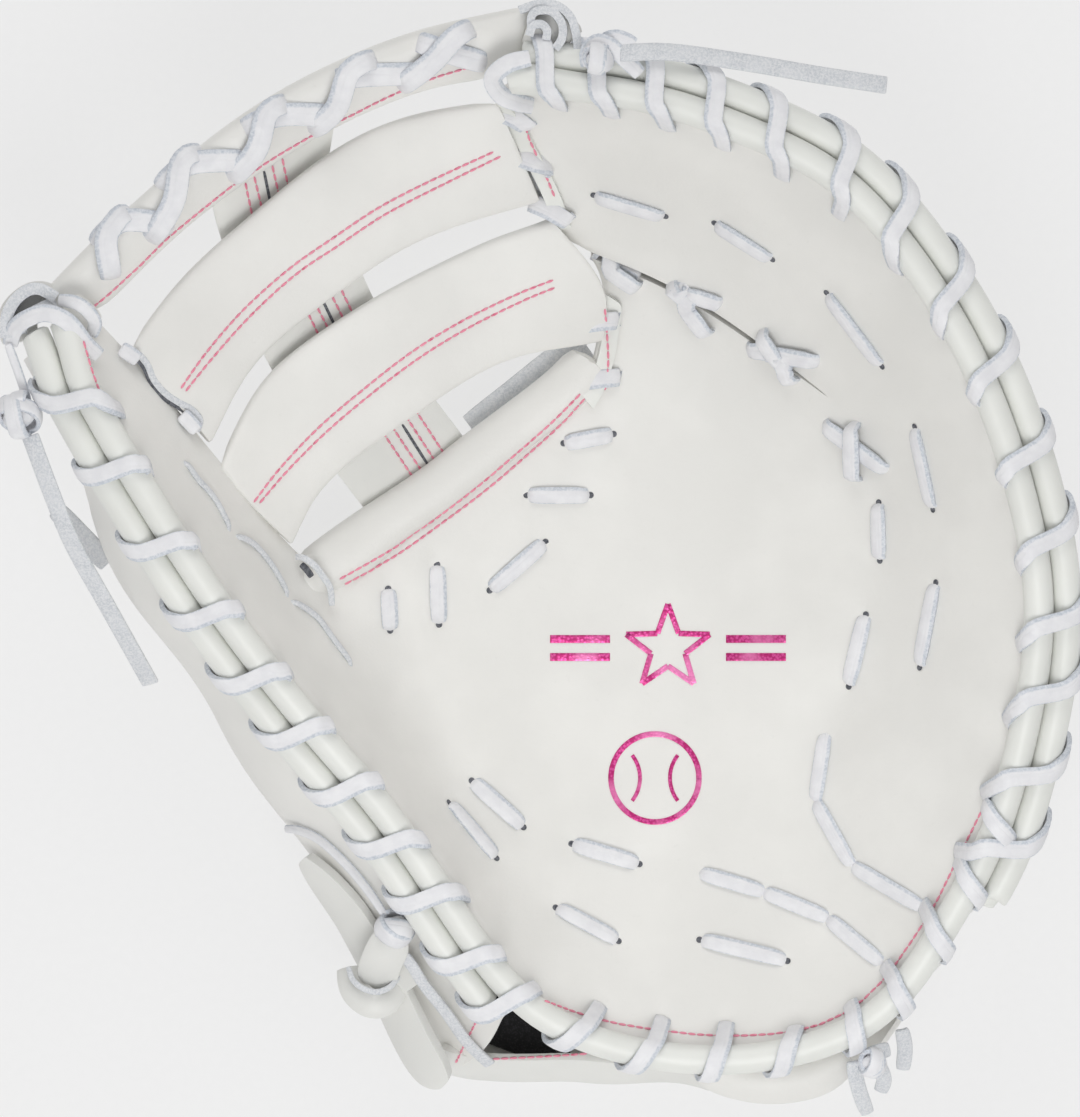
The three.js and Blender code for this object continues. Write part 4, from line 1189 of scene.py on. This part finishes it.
# Stitching
def model_stitch():
    deselect()
    bpy.ops.mesh.primitive_uv_sphere_add(segments=8, ring_count=6, radius=1)
    stitch = bpy.context.object
    stitch.data.transform(Matrix.Rotation(math.pi / 2, 4, "Y"))
    stitch.data.transform(Matrix.Diagonal((STITCH_LENGTH / 2, STITCH_RADIUS * 1.5, STITCH_RADIUS, 1)))
    return stitch


def sew(stitch, skin, pixels):
    """Copies of a stitch along the pixels of a seam"""
    seen = [seen_at(skin, pixel) for pixel in pixels_along(pixels, SEAM_POINTS)]
    places = [place + direction * STITCH_LIFT for place, direction in seen]
    line = bpy.data.curves.new("seam", "CURVE")
    line.dimensions = "3D"
    spline = line.splines.new("POLY")
    spline.points.add(len(places) - 1)
    for point, place in zip(spline.points, places):
        point.co = (*place, 1)
    seam = bpy.data.objects.new("seam", line)
    bpy.context.scene.collection.objects.link(seam)
    row = twin_of(stitch)
    modify(row, "ARRAY", fit_type="FIT_CURVE", curve=seam, relative_offset_displace=(STITCH_PITCH, 0, 0))
    modify(row, "CURVE", object=seam, deform_axis="POS_X")
    bpy.data.objects.remove(seam)
    return row


stitch = model_stitch()
seams = [sew(stitch, ALL_SKIN, pixels) for pixels in SEAMS.values()]
flange_line = pixels_along(FLANGE_SEAM, SEAM_POINTS)
seams.append(sew(stitch, WEB_SKIN, [inside(WEB_SKIN, pixel, (-1, -1)) for pixel in flange_line]))
seams += [sew(stitch, STRAP_SKIN, pixels) for group in STRAP_SEAMS.values() for pixels in group]
bpy.data.objects.remove(stitch)
stitching = join(seams, "stitching")
take(stitching)
bpy.ops.object.shade_smooth()
wear(stitching, THREAD)


# Knots: a core of lace with two turns of lace round it
def tie_knot(name, node, centre, size, tilt):
    deselect()
    bpy.ops.mesh.primitive_ico_sphere_add(subdivisions=3, radius=size * KNOT_CORE, location=(0, 0, 0))
    core = bpy.context.object
    core.data.transform(Matrix.Diagonal((*KNOT_SHAPE, 1)))
    core.data.transform(Matrix.Translation(centre) @ Euler(tilt).to_matrix().to_4x4())
    turns = []
    for lean, squeeze in KNOT_TURNS:
        turn = Euler((tilt[0] + lean, tilt[1], tilt[2] + lean)).to_matrix()
        places = []
        directions = []
        for share in np.linspace(0, 1, KNOT_ROWS):
            angle = KNOT_TURN * share
            rise = (share - 0.5) * size * KNOT_RISE
            spoke = Vector((math.cos(angle), math.sin(angle) * squeeze, 0))
            places.append(centre + turn @ (spoke * size + Vector((0, 0, rise))))
            directions.append(turn @ spoke)
        turns.append(lay_strip("turn", places, directions, LACE_WIDTH, crown=0.5 * MM, taper=0.2))
    wraps = thicken(join(turns, name + "_turns"), LACE_THICKNESS)
    knot = join([wraps, core], name)
    take(knot)
    bpy.ops.object.shade_smooth()
    wear(knot, LACE)
    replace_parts(knot, node)


def middle_of(node):
    low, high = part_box(node)
    return (low + high) / 2


for name, node, size, tilt in KNOTS:
    centre = middle_of(node)
    if node == "toggle_knot":
        centre = at_height(TOGGLE_KNOT_PIXEL, TOGGLE_KNOT_HEIGHT)
    tie_knot(name, node, centre, size * MM, tilt)

# The toggle's wide loop
soft_copy("toggle_loop", "toggle_wide_loop", 2, TOGGLE_SWELL, SMOOTH_LEATHER, SHEET_CREASE)


# Plain pink foil marks: a star between two bars, and a ball with its two seams
def foil_line(pixels, width):
    rows = max(8, 4 * len(pixels))
    seen = [seen_at(LEATHER_SKIN, pixel) for pixel in pixels_along(pixels, rows)]
    places = [place + direction * FOIL_LIFT for place, direction in seen]
    return lay_strip("mark", places, [direction for _, direction in seen], width, crown=0.0)


def arc(middle, radius, start, end, steps=18):
    turns = np.linspace(math.radians(start), math.radians(end), steps)
    return [(middle[0] + radius * math.cos(t), middle[1] + radius * math.sin(t)) for t in turns]


marks = [foil_line(arc(BALL, BALL_RADIUS, 0, ROUND_AND_ON, 40), FOIL_WIDTH)]
for side, middle in ((-1, 0), (1, 180)):
    seam_middle = (BALL[0] + side * SEAM_OFFSET, BALL[1])
    seam_line = arc(seam_middle, SEAM_RADIUS, middle - SEAM_TURN, middle + SEAM_TURN)
    marks.append(foil_line(seam_line, FOIL_WIDTH * 0.7))
tips = []
for k in range(2 * STAR_TIPS + 1):
    reach = STAR_WAIST if k % 2 else STAR_RADIUS
    angle = math.pi * (k / STAR_TIPS - 0.5)
    tips.append((STAR[0] + reach * math.cos(angle), STAR[1] + reach * math.sin(angle)))
for start, end in zip(tips, tips[1:]):
    marks.append(foil_line([start, end], FOIL_WIDTH))
for side in (-1, 1):
    for row in (-BAR_RISE, BAR_RISE):
        near_end = (STAR[0] + side * BAR_START, STAR[1] + row)
        far_end = (STAR[0] + side * BAR_END, STAR[1] + row)
        marks.append(foil_line([near_end, far_end], FOIL_WIDTH * 1.4))
made_of(marks, "foil_marks", FOIL_THICKNESS, FOIL)


# The floor and the light
def light_stage():
    deselect()
    bpy.ops.mesh.primitive_plane_add(size=FLOOR_SIZE, location=(0, 0, 0))
    floor = bpy.context.object
    floor.name = "floor"
    floor.data.materials.append(floor_paper())
    world = bpy.data.worlds.new("studio")
    bpy.context.scene.world = world
    world.use_nodes = True
    world.node_tree.nodes["Background"].inputs["Color"].default_value = (1, 1, 1, 1)
    world.node_tree.nodes["Background"].inputs["Strength"].default_value = WORLD_LIGHT
    for place, size, power in LAMPS:
        bpy.ops.object.light_add(type="AREA", location=place)
        lamp = bpy.context.object
        lamp.data.size = size
        lamp.data.energy = power
        lamp.rotation_euler = (-Vector(place)).to_track_quat("-Z", "Y").to_euler()
    bpy.context.scene.view_settings.view_transform = "Standard"


light_stage()
